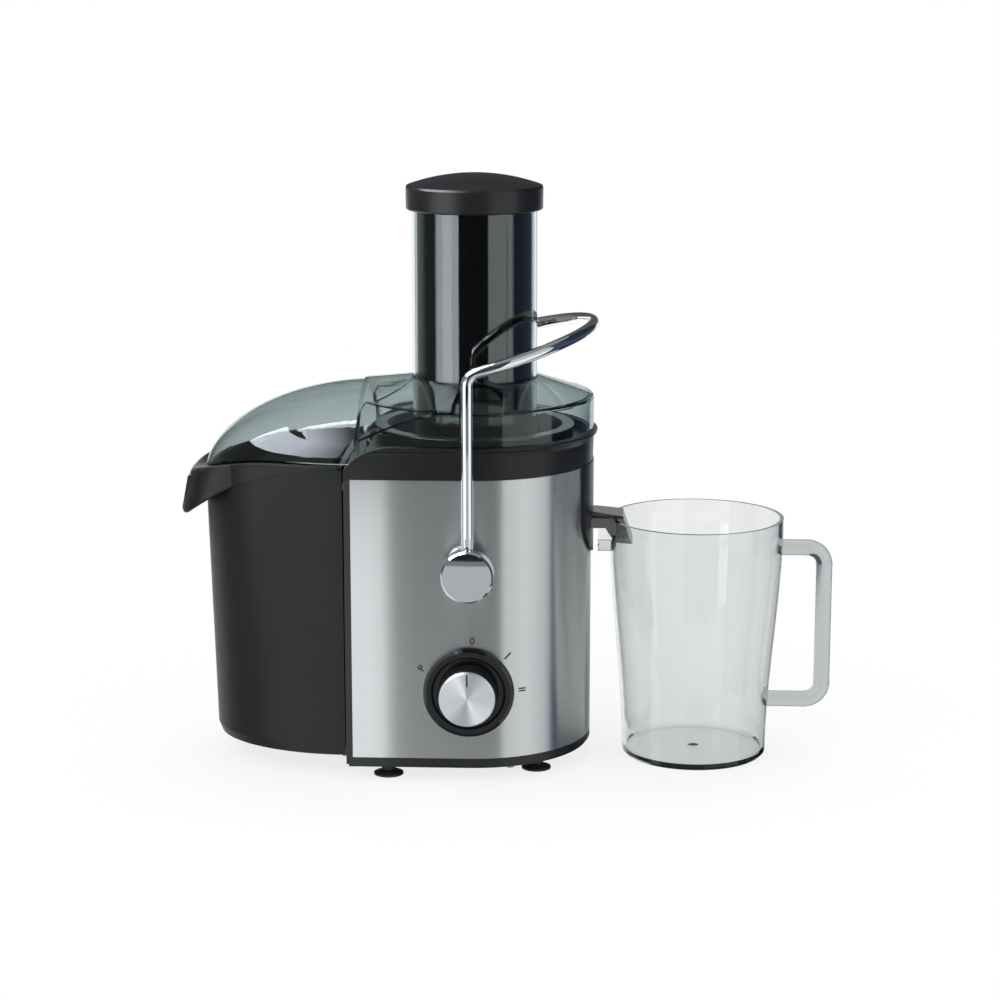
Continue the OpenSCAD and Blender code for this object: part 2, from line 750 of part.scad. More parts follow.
// Bearing plate with two legs to the stator; dir is 1 when the legs run down
module bracket(z, dir, bearing_base, leg_end) {
    color([0.68, 0.69, 0.71]) difference() {
        union() {
            translate([0, 0, z]) linear_extrude(bracket_t)
                round_rect(stator_w, dir > 0 ? 2 * mount_pos + 14 : 30, 6);
            translate([0, 0, dir > 0 ? bearing_base - 1 : z])
                cylinder(r = bearing_r + 2.5, h = dir > 0 ? z - bearing_base + 2 : bearing_h + 3);
            for (s = [-1, 1]) translate([s * (stator_w / 2 - 2) - 2, -13, dir > 0 ? leg_end : z])
                cube([4, 26, dir > 0 ? z - leg_end + 1 : leg_end - z]);
            // posts under the brush holders
            if (dir < 0) for (s = [-1, 1]) translate([-5, s > 0 ? 13.5 : -29, z])
                cube([10, 15.5, comm_z + 1.5 - z]);
        }
        translate([0, 0, bearing_base]) cylinder(r = bearing_r + eps, h = dir > 0 ? bearing_h : far);
        translate([0, 0, z - 20]) cylinder(r = shaft_r + 1.5, h = 60);
        translate([0, 0, dir > 0 ? bearing_base - 2 : bearing_base])
            cylinder(r = bearing_r + eps, h = dir > 0 ? 4 : 1);
        if (dir > 0) for (sx = [-1, 1], sy = [-1, 1])
            translate([sx * mount_pos, sy * mount_pos, z - 1]) cylinder(r = 2, h = bracket_t + 2);
    }
}

module top_bracket() { bracket(bracket_z, 1, up_bearing_z, stator_top); }
module bottom_bracket() { bracket(low_bracket_z, -1, low_bearing_z, stator_z); }

module cooling_fan() {
    color([0.2, 0.2, 0.22]) translate([0, 0, fan_z]) {
        difference() {
            union() {
                cylinder(r = 26, h = 1.6);
                cylinder(r = 8, h = 8);
            }
            translate([0, 0, -1]) cylinder(r = shaft_r, h = 12);
        }
        for (i = [0:10]) rotate(i * 360 / 11) translate([9, -0.7, 1.5]) rotate([0, 0, 18]) cube([16, 1.4, 6]);
    }
}

module motor_mounts() {
    color([0.15, 0.15, 0.16]) for (sx = [-1, 1], sy = [-1, 1])
        translate([sx * mount_pos, sy * mount_pos, bracket_z + bracket_t]) rotate_extrude() polygon([
            [0, 0], [6, 0], [6, 2], [4.6, mount_h / 2 - 1], [6, mount_h - 4], [6, mount_h - 2], [0, mount_h - 2]
        ]);
}

module shaft_seal() {
    color([0.25, 0.1, 0.08]) translate([0, 0, deck_low]) rotate_extrude() polygon([
        [shaft_r + 0.35, 0], [shaft_r + 6, 0], [shaft_r + 6, shell_t], [shaft_r + 8, shell_t],
        [shaft_r + 8, shell_t + 1.5], [shaft_r + 2.5, shell_t + 1.5], [shaft_r + 0.35, shell_t - 0.5]
    ]);
}

// ---------- rotor above the deck ----------

lug_w = 4;
lug_h = 2.4;

module drive_coupling() {
    color([0.15, 0.15, 0.16]) difference() {
        union() {
            translate([0, 0, coupling_z]) cylinder(r = coupling_r, h = coupling_top - coupling_z);
            for (i = [0:5]) rotate(i * 60) translate([coupling_r - 5.5, -lug_w / 2, coupling_top - eps])
                cube([5, lug_w, lug_h]);
        }
        translate([0, 0, coupling_z - 1]) cylinder(r = shaft_r, h = coupling_top - coupling_z);
    }
}

// Plastic hub under the basket, with pockets for the lugs and a skirt round the collector hub
module basket_hub() {
    color([0.85, 0.85, 0.83]) difference() {
        translate([0, 0, coupling_top]) rotate_extrude() polygon([
            [0, 0], [coupling_r + 1, 0], [coupling_r + 1, 1], [hub_out + 1.5, 0], [hub_out + 1.5, -7],
            [hub_out + 3.5, -7], [hub_out + 5, 0.5], [basket_r - 6, 1.2], [basket_r - 6, 2], [0, 2]
        ]);
        translate([0, 0, coupling_top - eps]) for (i = [0:5]) rotate(i * 60)
            translate([coupling_r - 6, -lug_w / 2 - 0.3, 0]) cube([6, lug_w + 0.6, lug_h + 0.2]);
    }
}

basket_h = basket_top - basket_z;
slope = (basket_rim_r - basket_r) / basket_h;
function basket_at(h) = basket_r + slope * h;

// Conical sieve: floor, wall with rows of slots and a flat rim
module filter_basket() {
    band = (basket_h - 12) / sieve_rows;
    color([0.78, 0.78, 0.8]) translate([0, 0, basket_z]) difference() {
        rotate_extrude() polygon([
            [coupling_r + 2, 0], [basket_r, 0], [basket_rim_r, basket_h - 1], [basket_rim_r + 7, basket_h - 1],
            [basket_rim_r + 7, basket_h], [basket_rim_r - basket_t, basket_h],
            [basket_r - basket_t + slope, basket_t], [coupling_r + 2, basket_t]
        ]);
        for (row = [0:sieve_rows - 1], i = [0:sieve_cols - 1])
            rotate(i * 360 / sieve_cols + (row % 2) * 180 / sieve_cols)
                translate([basket_at(6 + band * row) - 4, -0.9, 6 + band * row]) cube([12, 1.8, band - 3.4]);
    }
}

// Grater disc with curved rows of pressed teeth
module grater_disc() {
    color([0.8, 0.8, 0.82]) translate([0, 0, grater_z]) {
        difference() {
            cylinder(r = basket_r - 2.5, h = basket_t);
            for (i = [0:2]) rotate(i * 120 + 30) translate([8, 0, -1]) cylinder(r = 1.6, h = 4);
        }
        for (row = [0:tooth_rows - 1], i = [0:teeth_per_row - 1])
            rotate(row * 360 / tooth_rows + i * 5)
                translate([12 + i * (basket_r - 18) / teeth_per_row, 0, basket_t - eps])
                    rotate([90, 0, 60]) linear_extrude(0.8, center = true)
                        polygon([[-1.4, 0], [1.4, 0], [0.5, tooth_h]]);
    }
}

// ---------- juice collector and spout ----------

apron_t = 2.2;
apron_r = inner_r + run_gap;
hole_r = basket_rim_r + 4.5;
sill_w = body_r - 22;

// Plan through the band of the ring
module ring_profile() {
    polygon([
        [inner_r - 0.6, wrap_top], [body_r + 1, wrap_top], [body_r + 1.5, ring_top - 6],
        [body_r + 2.4, ring_top - 3.5], [body_r + ring_lip - 0.4, ring_top - 2.4],
        [body_r + ring_lip, ring_top - 1.2], [body_r + ring_lip - 0.4, ring_top],
        [inner_r - 2, ring_top], [inner_r - 2, ring_top - 4], [inner_r - 0.6, ring_top - 5]
    ]);
}

module spout_hole(play) {
    translate([body_r / 2, 0, spout_top - spout_neck / 2]) rotate([90, 0, 90])
        linear_extrude(body_r) square([2 * (spout_w + play), spout_neck + 2 * play], center = true);
}

module juice_collector() {
    color([0.1, 0.1, 0.11]) difference() {
        union() {
            // ring band with its flat left end
            difference() {
                d_sweep(wall_x) ring_profile();
                translate([-far - wall_x, -far / 2, 0]) cube([far, far, far]);
            }
            translate([-wall_x, -body_r, wrap_top]) cube([mould_t, 2 * body_r, sill_z - wrap_top]);
            // sill that hangs over the wall of the bin
            translate([-wall_x - 5, -sill_w, sill_z - 3]) cube([6, 2 * sill_w, 3]);
            // pulp deck inside the ring, stepping down to the sill
            difference() {
                intersection() {
                    translate([0, 0, wrap_top]) linear_extrude(ring_h) d_plan(inner_r - 0.5, wall_x - 0.5);
                    across(body_r) polygon([
                        [-wall_x, sill_z - 3], [-wall_x + 8, sill_z - 3], [-hole_r - 2, ring_top - 8],
                        [body_r, ring_top - 8], [body_r, ring_top - 5.6], [-hole_r - 3, ring_top - 5.6],
                        [-wall_x + 7, sill_z], [-wall_x, sill_z]
                    ]);
                }
                translate([0, 0, wrap_top - 1]) cylinder(r = hole_r, h = ring_h);
            }
            // bowl, hub and the upstand under the basket rim
            rotate_extrude() polygon([
                [hub_in, bowl_z - mould_t], [bowl_r, bowl_z - mould_t], [bowl_r, ring_top - 7],
                [bowl_r - mould_t, ring_top - 7], [bowl_r - mould_t, bowl_z], [hub_out, bowl_z],
                [hub_out, hub_top], [hub_in, hub_top]
            ]);
            difference() {
                translate([0, 0, ring_top - 8]) cylinder(r = hole_r + 1.6, h = 8.4);
                translate([0, 0, ring_top - 9]) cylinder(r = hole_r, h = 10);
            }
            // apron that fills the spout notch
            intersection() {
                translate([0, 0, notch_z - notch_r]) difference() {
                    cylinder(r = apron_r + apron_t, h = wrap_top + 0.5 - notch_z + notch_r);
                    translate([0, 0, -1]) cylinder(r = apron_r, h = far);
                }
                notch_cutter(notch_r, far);
            }
        }
        spout_hole(snug);
        // round drop of the ring towards the bin
        across(far / 2) intersection() {
            above_drop();
            translate([-wall_x - 1, 0]) square([wall_x, far]);
        }
    }
}

spout_neck = 11;

module spout() {
    low = spout_top - spout_drop;
    color([0.5, 0.51, 0.52]) difference() {
        intersection() {
            across(spout_w) polygon([
                [bowl_r - mould_t - 2, spout_top], [body_r + 1, spout_top], [spout_x - 6.7, spout_top - 2.6],
                [spout_x, low], [spout_x - 12.7, low + 2], [spout_x - 18.7, spout_top - spout_neck],
                [bowl_r - mould_t - 2, spout_top - spout_neck]
            ]);
            translate([0, 0, spout_top - spout_drop]) rotate([90, 0, 90])
                linear_extrude(far) translate([0, spout_drop / 2]) round_rect(2 * spout_w, spout_drop, 4.5);
        }
        across(spout_w - spout_t) polygon([
            [0, spout_top - spout_t], [body_r + 1, spout_top - spout_t],
            [spout_x - 6.7 - spout_t, spout_top - 2.6 - spout_t], [spout_x - spout_t - 0.2, low - 1],
            [spout_x - 12, low - 1], [spout_x - 17, spout_top - spout_neck + spout_t],
            [0, spout_top - spout_neck + spout_t]
        ]);
    }
}

// ---------- lid ----------

shoulder = 2.5;
boss_in = lid_r - 20.5;

// Outer line of the lid wall and its flat shoulder, in radius and height; in is the wall to take off
module lid_profile(in, bottom) {
    polygon([
        [0, bottom], [lid_r - in, bottom], [lid_r - in, lid_top - shoulder - in * 0.4],
        [lid_r - 0.7 - in, lid_top - 0.8 - in * 0.8], [lid_r - shoulder - in * 0.7, lid_top - in],
        [0, lid_top - in]
    ]);
}

// Leaning corners that take the square wall of the ring up to the round edge of the roof
module lid_corner(in) {
    wide_r = norm([lid_x, lid_r]) + 0.6 - in / 2;
    edge_r = lid_r + 0.6 - in / 2;
    rotate_extrude() polygon([
        [0, sill_z - 2], [wide_r, sill_z - 2], [wide_r, ring_top + 3 - in],
        [edge_r, lid_top + 0.4 - in], [0, lid_top + 0.4 - in]
    ]);
}

// Wall and shoulder of the lid, taken in by in
module lid_wall(in, bottom) {
    intersection() {
        d_sweep(lid_x) lid_profile(in, bottom);
        lid_corner(in);
    }
}

// Cone of the roof up to the feed tube
module lid_cone(in) {
    cone_r = lid_r - shoulder - 0.5 - in * 0.7;
    rotate_extrude() polygon([
        [0, lid_top - in - 2], [cone_r, lid_top - in - 2], [cone_r, lid_top - in],
        [tube_r, roof_z - in], [0, roof_z - in]
    ]);
}

// Rounded back that runs from the chute up to the feed tube
module lid_saddle(in) {
    grow = saddle_lip - in;
    translate([-lid_x, 0, chute_z]) rotate([0, -saddle_lean, 0]) translate([-8, 0, 0])
        rotate([90, 0, 90]) linear_extrude(52) scale([(chute_b + grow) / (chute_c + grow), 1])
            circle(r = chute_c + grow, $fn = 96);
}

// Half-round locking bosses at the front and rear edge of the lid roof
module lid_bosses(in) {
    intersection() {
        for (s = [-1, 1]) translate([boss_r * 0.4, s > 0 ? boss_in + in : -lid_r, lid_top])
            rotate([-90, 0, 0]) cylinder(r = boss_r - in, h = lid_r - boss_in - in);
        translate([0, 0, lid_top - 6]) cylinder(r = lid_r - 0.8 - in, h = 60);
    }
}

module chute_body(in) {
    translate([-lid_x, 0, chute_z]) rotate([0, -chute_lean, 0])
        scale([1, (chute_b - in) / (chute_a - in), (chute_c - in) / (chute_a - in)])
            sphere(r = chute_a - in, $fn = 96);
}

chute_z = roof_z - chute_c - chute_step;

// Everything to the left of the plane where the chute starts
module left_of(x) {
    translate([-far - x, -far / 2, 0]) cube([far, far, far]);
}

module lid_cover() {
    color([0.62, 0.7, 0.68, 0.5]) difference() {
        union() {
            lid_wall(0, ring_top);
            lid_cone(0);
            intersection() {
                lid_saddle(0);
                translate([-lid_x, -lid_r, ring_top + 1]) cube([lid_x, 2 * lid_r, far]);
            }
            // wall down to the sill, left of the round drop
            translate([-lid_x, -lid_r, sill_z]) cube([lid_x - drop_x + 8, 2 * lid_r, ring_top - sill_z + 3]);
            lid_bosses(0);
        }
        difference() {
            union() {
                lid_wall(mould_t, ring_top - 3);
                lid_cone(mould_t);
                intersection() {
                    lid_saddle(mould_t);
                    translate([-lid_x - 1, -lid_r, ring_top]) cube([lid_x, 2 * lid_r, far]);
                }
                translate([-lid_x - 1, -lid_r + mould_t, sill_z - 1])
                    cube([lid_x - drop_x + 20, 2 * (lid_r - mould_t), ring_top - sill_z + 3]);
                lid_bosses(mould_t);
            }
            left_of(lid_x - mould_t);
        }
        left_of(lid_x);
        // the ring below carries the wall
        across(far / 2) difference() {
            translate([-lid_x - 1, 0]) square([lid_x + 11 - drop_x, ring_top]);
            above_drop();
        }
        // way into the chute
        intersection() {
            chute_body(mould_t);
            translate([-lid_x - 1, -far / 2, 0]) cube([mould_t + 2, far, far]);
        }
        translate([-lid_x - 1, -chute_b + 12, 0]) cube([mould_t + 2, 2 * chute_b - 24, chute_z + 22]);
        translate([0, 0, ring_top]) cylinder(r = tube_r, h = far);
    }
}

module pulp_chute() {
    color([0.62, 0.7, 0.68, 0.5]) difference() {
        chute_body(0);
        chute_body(mould_t);
        translate([-lid_x, -far / 2, 0]) cube([far, far, far]);
        // lower edge just above the rim of the bin
        across(far / 2) difference() {
            translate([-far, 0]) square([far, bin_rim_z + 1]);
            above_rim(0.8);
        }
    }
}

rib_angle = -55;
rib_w = 3;

module feed_tube() {
    color([0.7, 0.76, 0.74, 0.4]) difference() {
        translate([0, 0, tube_z]) cylinder(r = tube_r, h = tube_top - tube_z);
        translate([0, 0, tube_z - 1]) cylinder(r = tube_r - tube_t, h = far);
    }
}

pusher_r = tube_r - tube_t - pusher_gap;

// Hollow pusher with a closed foot and two key slots
module pusher_body() {
    color([0.06, 0.06, 0.07]) difference() {
        translate([0, 0, tube_z + 1]) cylinder(r = pusher_r, h = tube_top - tube_z - 1 + run_gap);
        translate([0, 0, tube_z + 3.5]) cylinder(r = pusher_r - 4, h = far);
        for (a = [rib_angle, rib_angle + 180]) rotate(a)
            translate([pusher_r - 1.2, -rib_w / 2, tube_z]) cube([4, rib_w, tube_top - tube_z - 10]);
    }
}

module pusher_cap() {
    z0 = tube_top + run_gap;
    dome_r = (pow(cap_r - 2, 2) + pow(cap_dome, 2)) / (2 * cap_dome);
    color([0.05, 0.05, 0.06]) difference() {
        union() {
            translate([0, 0, z0]) rotate_extrude() polygon([
                [0, 0], [cap_r - 1, 0], [cap_r, 1], [cap_r, cap_side - 2], [cap_r - 0.6, cap_side - 0.6],
                [cap_r - 2, cap_side], [0, cap_side]
            ]);
            intersection() {
                translate([0, 0, z0 + cap_side + cap_dome - dome_r]) sphere(r = dome_r);
                translate([0, 0, z0 + cap_side - eps]) cylinder(r = cap_r - 2, h = cap_dome + 1);
            }
        }
        translate([0, 0, z0 + 2.5]) cylinder(r = pusher_r - 6, h = cap_side - 4.5);
        translate([0, 0, z0 - 1]) cylinder(r = pusher_r - 10, h = 5);
    }
}

// ---------- pulp bin ----------

// Body of revolution squeezed front to back; in is the wall to take off
module bin_body(in, bottom, top) {
    k = (bin_b - in) / (bin_a - in);
    low = bin_a - in - bin_taper * (bin_rim_z - bottom) / (bin_rim_z - bin_z);
    translate([-bin_x, 0, 0]) scale([1, k, 1]) rotate_extrude($fn = 120) polygon([
        [0, bottom], [low - 7, bottom], [low - 2.2, bottom + 2.2], [low, bottom + 8],
        [bin_a - in, bin_rim_z], [bin_a - in, top], [0, top]
    ]);
}

module bin_collar() {
    intersection() {
        translate([-bin_x, 0, 0]) scale([1, (bin_b + 1) / (bin_a + 1), 1])
            translate([0, 0, bin_rim_z - 45]) cylinder(r = bin_a + 1, h = 46, $fn = 120);
        across(far / 2) translate([-bin_x, 0]) difference() {
            translate([-far, 0]) square([far, far]);
            translate([-1, bin_rim_z - 2 - bin_collar_r]) circle(r = bin_collar_r, $fn = 180);
            translate([-far, 0]) square([far, bin_rim_z - 40]);
        }
    }
}

// Hood-shaped grip at the left end, hollow underneath
module bin_grip(in) {
    tip_x = -bin_x - bin_a - grip_out;
    intersection() {
        across(far / 2) polygon([
            [tip_x + 40, bin_rim_z - 12 - in], [tip_x + 6 + in * 0.8, bin_rim_z - 15.4 - in],
            [tip_x + in * 1.2, bin_rim_z - 41 - in], [tip_x + 17, bin_rim_z - 33 - 3 * in],
            [tip_x + 40, bin_rim_z - 14 - 3 * in]
        ]);
        linear_extrude(far) polygon([
            [tip_x + 40, -46 + in], [tip_x + 11, -35 + in], [tip_x + in, -20 + in],
            [tip_x + in, 20 - in], [tip_x + 11, 35 - in], [tip_x + 40, 46 - in]
        ]);
    }
}

module pulp_bin() {
    color([0.09, 0.09, 0.1]) difference() {
        union() {
            bin_body(0, bin_z, bin_rim_z + 1);
            bin_collar();
            difference() {
                bin_grip(0);
                bin_grip(2.4);
            }
        }
        // inside, above the floor
        intersection() {
            bin_body(bin_t, bin_floor_z + bin_t, far);
            translate([-far - bin_x - bin_t, -far / 2, 0]) cube([far, far, far]);
        }
        // hollow underside inside the skirt
        intersection() {
            translate([0, 0, -5]) bin_body(bin_t, bin_z, bin_rim_z);
            translate([-far - bin_x - bin_t, -far / 2, 0]) cube([far, far, bin_floor_z]);
        }
        // flat right side, lower wall there, and the doorway for the shelf
        translate([-bin_x, -far / 2, -1]) cube([far, far, far]);
        translate([-bin_x - 8, -bin_b + bin_t + 1, bin_wall_top]) cube([far, 2 * (bin_b - bin_t - 1), far]);
        translate([-bin_x - 8, -shelf_w - 1, -1]) cube([far, 2 * shelf_w + 2, bin_floor_z + 1]);
        across(far / 2) above_rim();
    }
}

// ---------- jug ----------

jug_floor = 4;
jug_steps = 10;
beak_w = spout_w + 5;
beak_z = jug_h - beak_drop;

// The wall swells smoothly from the foot to the rim
function swell(t) = t * t * (3 - 2 * t);
function jug_at(z) = jug_foot_r + (jug_r - jug_foot_r) * swell(z / jug_h);

module jug_outer(in, z0, top) {
    rotate_extrude() polygon(concat(
        [[0, z0], [jug_at(z0) - in - (in > 0 ? 1 : 2), z0]],
        [for (i = [0:jug_steps]) let (z = z0 + 2 + (jug_h - z0 - 2) * i / jug_steps) [jug_at(z) - in, z]],
        [[jug_r - in, top], [0, top]]
    ));
}

// Channel that carries juice over the dipped rim, a half pipe that slopes up and out
module beak(r) {
    translate([-jug_at(beak_z) + 6, 0, beak_z + beak_w]) rotate([0, -90, 0]) cylinder(r = r, h = 16);
}

module jug() {
    color([0.8, 0.84, 0.8, 0.35]) translate([jug_x, 0, 0]) {
        difference() {
            jug_outer(0, 0, jug_h);
            jug_outer(jug_t, jug_floor, jug_h + 5);
            beak(beak_w);
            translate([-jug_r - 10, -beak_w, beak_z + beak_w]) cube([24, 2 * beak_w, far]);
        }
        // lip of the beak
        intersection() {
            difference() {
                beak(beak_w + jug_t);
                translate([1, 0, 0]) beak(beak_w);
                translate([-2, 0, 0]) beak(beak_w);
                jug_outer(jug_t - eps, jug_floor, far);
                translate([-far, -far / 2, beak_z + beak_w * 0.45]) cube([far, far, far]);
            }
            across(far / 2) polygon([
                [-jug_r - 8, beak_z - 1], [-jug_r - 8, beak_z + 16], [0, beak_z + 16],
                [0, beak_z - 16], [-jug_at(beak_z) + jug_t / 2, beak_z - 16]
            ]);
        }
        // gate mark on the floor
        translate([0, 0, jug_floor - eps]) rotate_extrude() polygon([[0, 0], [4, 0], [3, 1.2], [0, 1.8]]);
    }
}

handle_top_z = 146;
handle_low_z = 38;
handle_x = jug_x + jug_r + handle_out - handle_r;
handle_bend = 12;

module jug_handle() {
    turn_x = handle_x - handle_bend;
    color([0.45, 0.48, 0.48, 0.6]) difference() {
        union() {
            for (z = [handle_top_z, handle_low_z]) {
                translate([jug_x + jug_foot_r - 4, 0, z]) rotate([0, 90, 0])
                    cylinder(r = handle_r, h = turn_x - jug_x - jug_foot_r + 4, $fn = 32);
                translate([turn_x, 0, z]) rotate([0, 90, 0]) joint(handle_r);
            }
            translate([handle_x, 0, handle_low_z + handle_bend])
                cylinder(r = handle_r, h = handle_top_z - handle_low_z - 2 * handle_bend, $fn = 32);
            for (z = [handle_low_z + handle_bend, handle_top_z - handle_bend])
                translate([handle_x, 0, z]) joint(handle_r);
            translate([turn_x, 0, handle_top_z - handle_bend]) wire_bend(handle_bend, handle_r, 0, 90);
            translate([turn_x, 0, handle_low_z + handle_bend]) wire_bend(handle_bend, handle_r, -90, 0);
        }
        translate([jug_x, 0, 0]) jug_outer(0, 0, jug_h);
    }
}

// ---------- all pieces ----------

base_plate();
foot(0);  // foot_front_left
foot(1);  // foot_front_right
foot(2);  // foot_rear_left
foot(3);  // foot_rear_right
foot_screws();
base_screws();
housing();
motor_deck();
steel_wrap();
cord_gland();
dial_ring();
dial_knob();
dial_cap();
selector_switch();
speed_board();
arm_wire();
pivot_disc(-1);  // pivot_disc_front
pivot_disc(1);  // pivot_disc_rear
pivot_pin(-1);  // pivot_pin_front
pivot_pin(1);  // pivot_pin_rear
pivot_bush(-1);  // pivot_bush_front
pivot_bush(1);  // pivot_bush_rear
safety_switch();
stator();
field_coils();
armature();
motor_shaft();
commutator();
brush(-1);  // brush_front
brush(1);  // brush_rear
bearing(up_bearing_z);  // upper_bearing
bearing(low_bearing_z);  // lower_bearing
top_bracket();
bottom_bracket();
cooling_fan();
motor_mounts();
shaft_seal();
drive_coupling();
juice_collector();
spout();
basket_hub();
filter_basket();
grater_disc();
lid_cover();
pulp_chute();
feed_tube();
pusher_body();
pusher_cap();
pulp_bin();
jug();
jug_handle();
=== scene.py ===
"""Looks for the centrifugal juicer: materials, the smooth wire arm, dial marks, studio and camera."""

import json
import math

import bpy
from mathutils import Matrix, Vector


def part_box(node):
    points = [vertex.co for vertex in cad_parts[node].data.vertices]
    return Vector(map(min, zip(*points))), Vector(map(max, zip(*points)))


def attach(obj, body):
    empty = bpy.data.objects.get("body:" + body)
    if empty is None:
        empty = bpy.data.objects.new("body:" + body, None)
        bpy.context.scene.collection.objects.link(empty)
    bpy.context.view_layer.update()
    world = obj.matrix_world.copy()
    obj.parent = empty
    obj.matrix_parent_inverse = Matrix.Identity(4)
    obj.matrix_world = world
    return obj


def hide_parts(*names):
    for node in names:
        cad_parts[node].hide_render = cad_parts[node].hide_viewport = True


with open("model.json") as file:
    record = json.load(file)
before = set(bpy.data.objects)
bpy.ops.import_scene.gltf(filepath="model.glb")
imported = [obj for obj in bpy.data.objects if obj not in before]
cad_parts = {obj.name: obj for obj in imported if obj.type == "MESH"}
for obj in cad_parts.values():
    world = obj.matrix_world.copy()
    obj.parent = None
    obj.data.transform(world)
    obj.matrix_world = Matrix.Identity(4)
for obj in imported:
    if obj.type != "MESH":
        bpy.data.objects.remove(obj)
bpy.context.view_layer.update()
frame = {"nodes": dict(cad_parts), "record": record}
nodes = frame["nodes"]

# ---------------------------------------------------------------- sizes taken from the frame


def low(node):
    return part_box(node)[0]


def high(node):
    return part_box(node)[1]


def middle(node):
    lo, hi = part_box(node)
    return (lo + hi) / 2


BODY_R = high("steel_wrap").x
DIAL = middle("dial_ring")
DIAL_R = (high("dial_ring").x - low("dial_ring").x) / 2
PIVOT = middle("pivot_disc_front")

# ---------------------------------------------------------------- camera

CAMERA_AT = Vector((0.1013, -1.7463, 0.5436))
CAMERA_PITCH = math.radians(11.84)
CAMERA_YAW = math.radians(2.757)
CAMERA_LENS = 93.33


def make_camera():
    data = bpy.data.cameras.new("camera")
    data.sensor_width = 36
    data.lens = CAMERA_LENS
    data.clip_start = 0.05
    data.clip_end = 30
    cam = bpy.data.objects.new("camera", data)
    cam.location = CAMERA_AT
    cam.rotation_euler = (math.pi / 2 - CAMERA_PITCH, 0, CAMERA_YAW)
    bpy.context.scene.collection.objects.link(cam)
    bpy.context.scene.camera = cam


make_camera()

# ---------------------------------------------------------------- material helpers

GRAIN_DEPTH = 0.00003
WAVE_DEPTH = 0.0004
ACRYLIC_IOR = 1.49
CHROME = (0.82, 0.83, 0.85)


class Nodes:
    """Short names for building a node material."""

    def __init__(self, name):
        mat = bpy.data.materials.new(name)
        mat.use_nodes = True
        self.take(mat)

    def take(self, mat):
        self.mat = mat
        self.tree = mat.node_tree
        self.bsdf = self.tree.nodes["Principled BSDF"]
        self.out = self.tree.nodes["Material Output"]

    @classmethod
    def of(cls, mat):
        """Work on a material that is there already."""
        self = cls.__new__(cls)
        self.take(mat)
        return self

    def add(self, kind, **settings):
        node = self.tree.nodes.new(kind)
        for key, value in settings.items():
            setattr(node, key, value)
        return node

    def link(self, a, b):
        self.tree.links.new(a, b)

    def coords(self, scale=(1, 1, 1)):
        """Object coordinates, stretched by scale."""
        place = self.add("ShaderNodeTexCoord")
        mapping = self.add("ShaderNodeMapping")
        mapping.inputs["Scale"].default_value = scale
        self.link(place.outputs["Object"], mapping.inputs["Vector"])
        return mapping.outputs["Vector"]

    def noise(self, scale, detail=2.0, stretch=(1, 1, 1)):
        node = self.add("ShaderNodeTexNoise")
        node.inputs["Scale"].default_value = scale
        node.inputs["Detail"].default_value = detail
        self.link(self.coords(stretch), node.inputs["Vector"])
        return node.outputs["Fac"]

    def ramp(self, value, stops, interpolation="LINEAR"):
        node = self.add("ShaderNodeValToRGB")
        ramp = node.color_ramp
        ramp.interpolation = interpolation
        while len(ramp.elements) < len(stops):
            ramp.elements.new(0.5)
        for element, (at, colour) in zip(ramp.elements, stops):
            element.position = at
            element.color = (*colour, 1)
        self.link(value, node.inputs["Fac"])
        return node.outputs["Color"]

    def spread(self, value, to_low, to_high):
        node = self.add("ShaderNodeMapRange")
        node.inputs["To Min"].default_value = to_low
        node.inputs["To Max"].default_value = to_high
        self.link(value, node.inputs["Value"])
        return node.outputs["Result"]

    def bump(self, value, strength, distance):
        node = self.add("ShaderNodeBump")
        node.inputs["Strength"].default_value = strength
        node.inputs["Distance"].default_value = distance
        self.link(value, node.inputs["Height"])
        self.link(node.outputs["Normal"], self.bsdf.inputs["Normal"])

    def set(self, **values):
        for key, value in values.items():
            self.bsdf.inputs[key.replace("_", " ")].default_value = value


def tinted(colour, amount):
    """Two tones a little darker and lighter than colour."""
    return [(0.3, [c * (1 - amount) for c in colour]), (0.7, [min(1, c * (1 + amount)) for c in colour])]


def plastic(name, colour, rough, specular=0.5, mottle=0.08):
    """Moulded plastic: a slow change of tone and of gloss, as a tool's surface leaves it."""
    n = Nodes(name)
    n.link(n.ramp(n.noise(38), tinted(colour, mottle)), n.bsdf.inputs["Base Color"])
    n.link(n.spread(n.noise(60), rough - 0.03, rough + 0.03), n.bsdf.inputs["Roughness"])
    n.set(Specular_IOR_Level=specular)
    return n.mat


def grained(name, colour, rough, specular=0.5):
    """Plastic with a fine spark-eroded grain."""
    mat = plastic(name, colour, rough, specular=specular)
    n = Nodes.of(mat)
    n.bump(n.noise(1400, 1), 0.25, GRAIN_DEPTH)
    return mat


def metal(name, colour, rough, stretch=(1, 1, 1), depth=0.000004, spread=0.04, tint=0.04):
    """Bare metal; stretch draws its grain out along an axis, and depth 0 leaves it polished."""
    n = Nodes(name)
    grain = n.noise(300, 3, stretch)
    n.link(n.ramp(grain, tinted(colour, tint)), n.bsdf.inputs["Base Color"])
    n.link(n.spread(grain, rough - spread, rough + spread), n.bsdf.inputs["Roughness"])
    if depth:
        n.bump(grain, 0.2, depth)
    n.set(Metallic=1.0)
    return n.mat


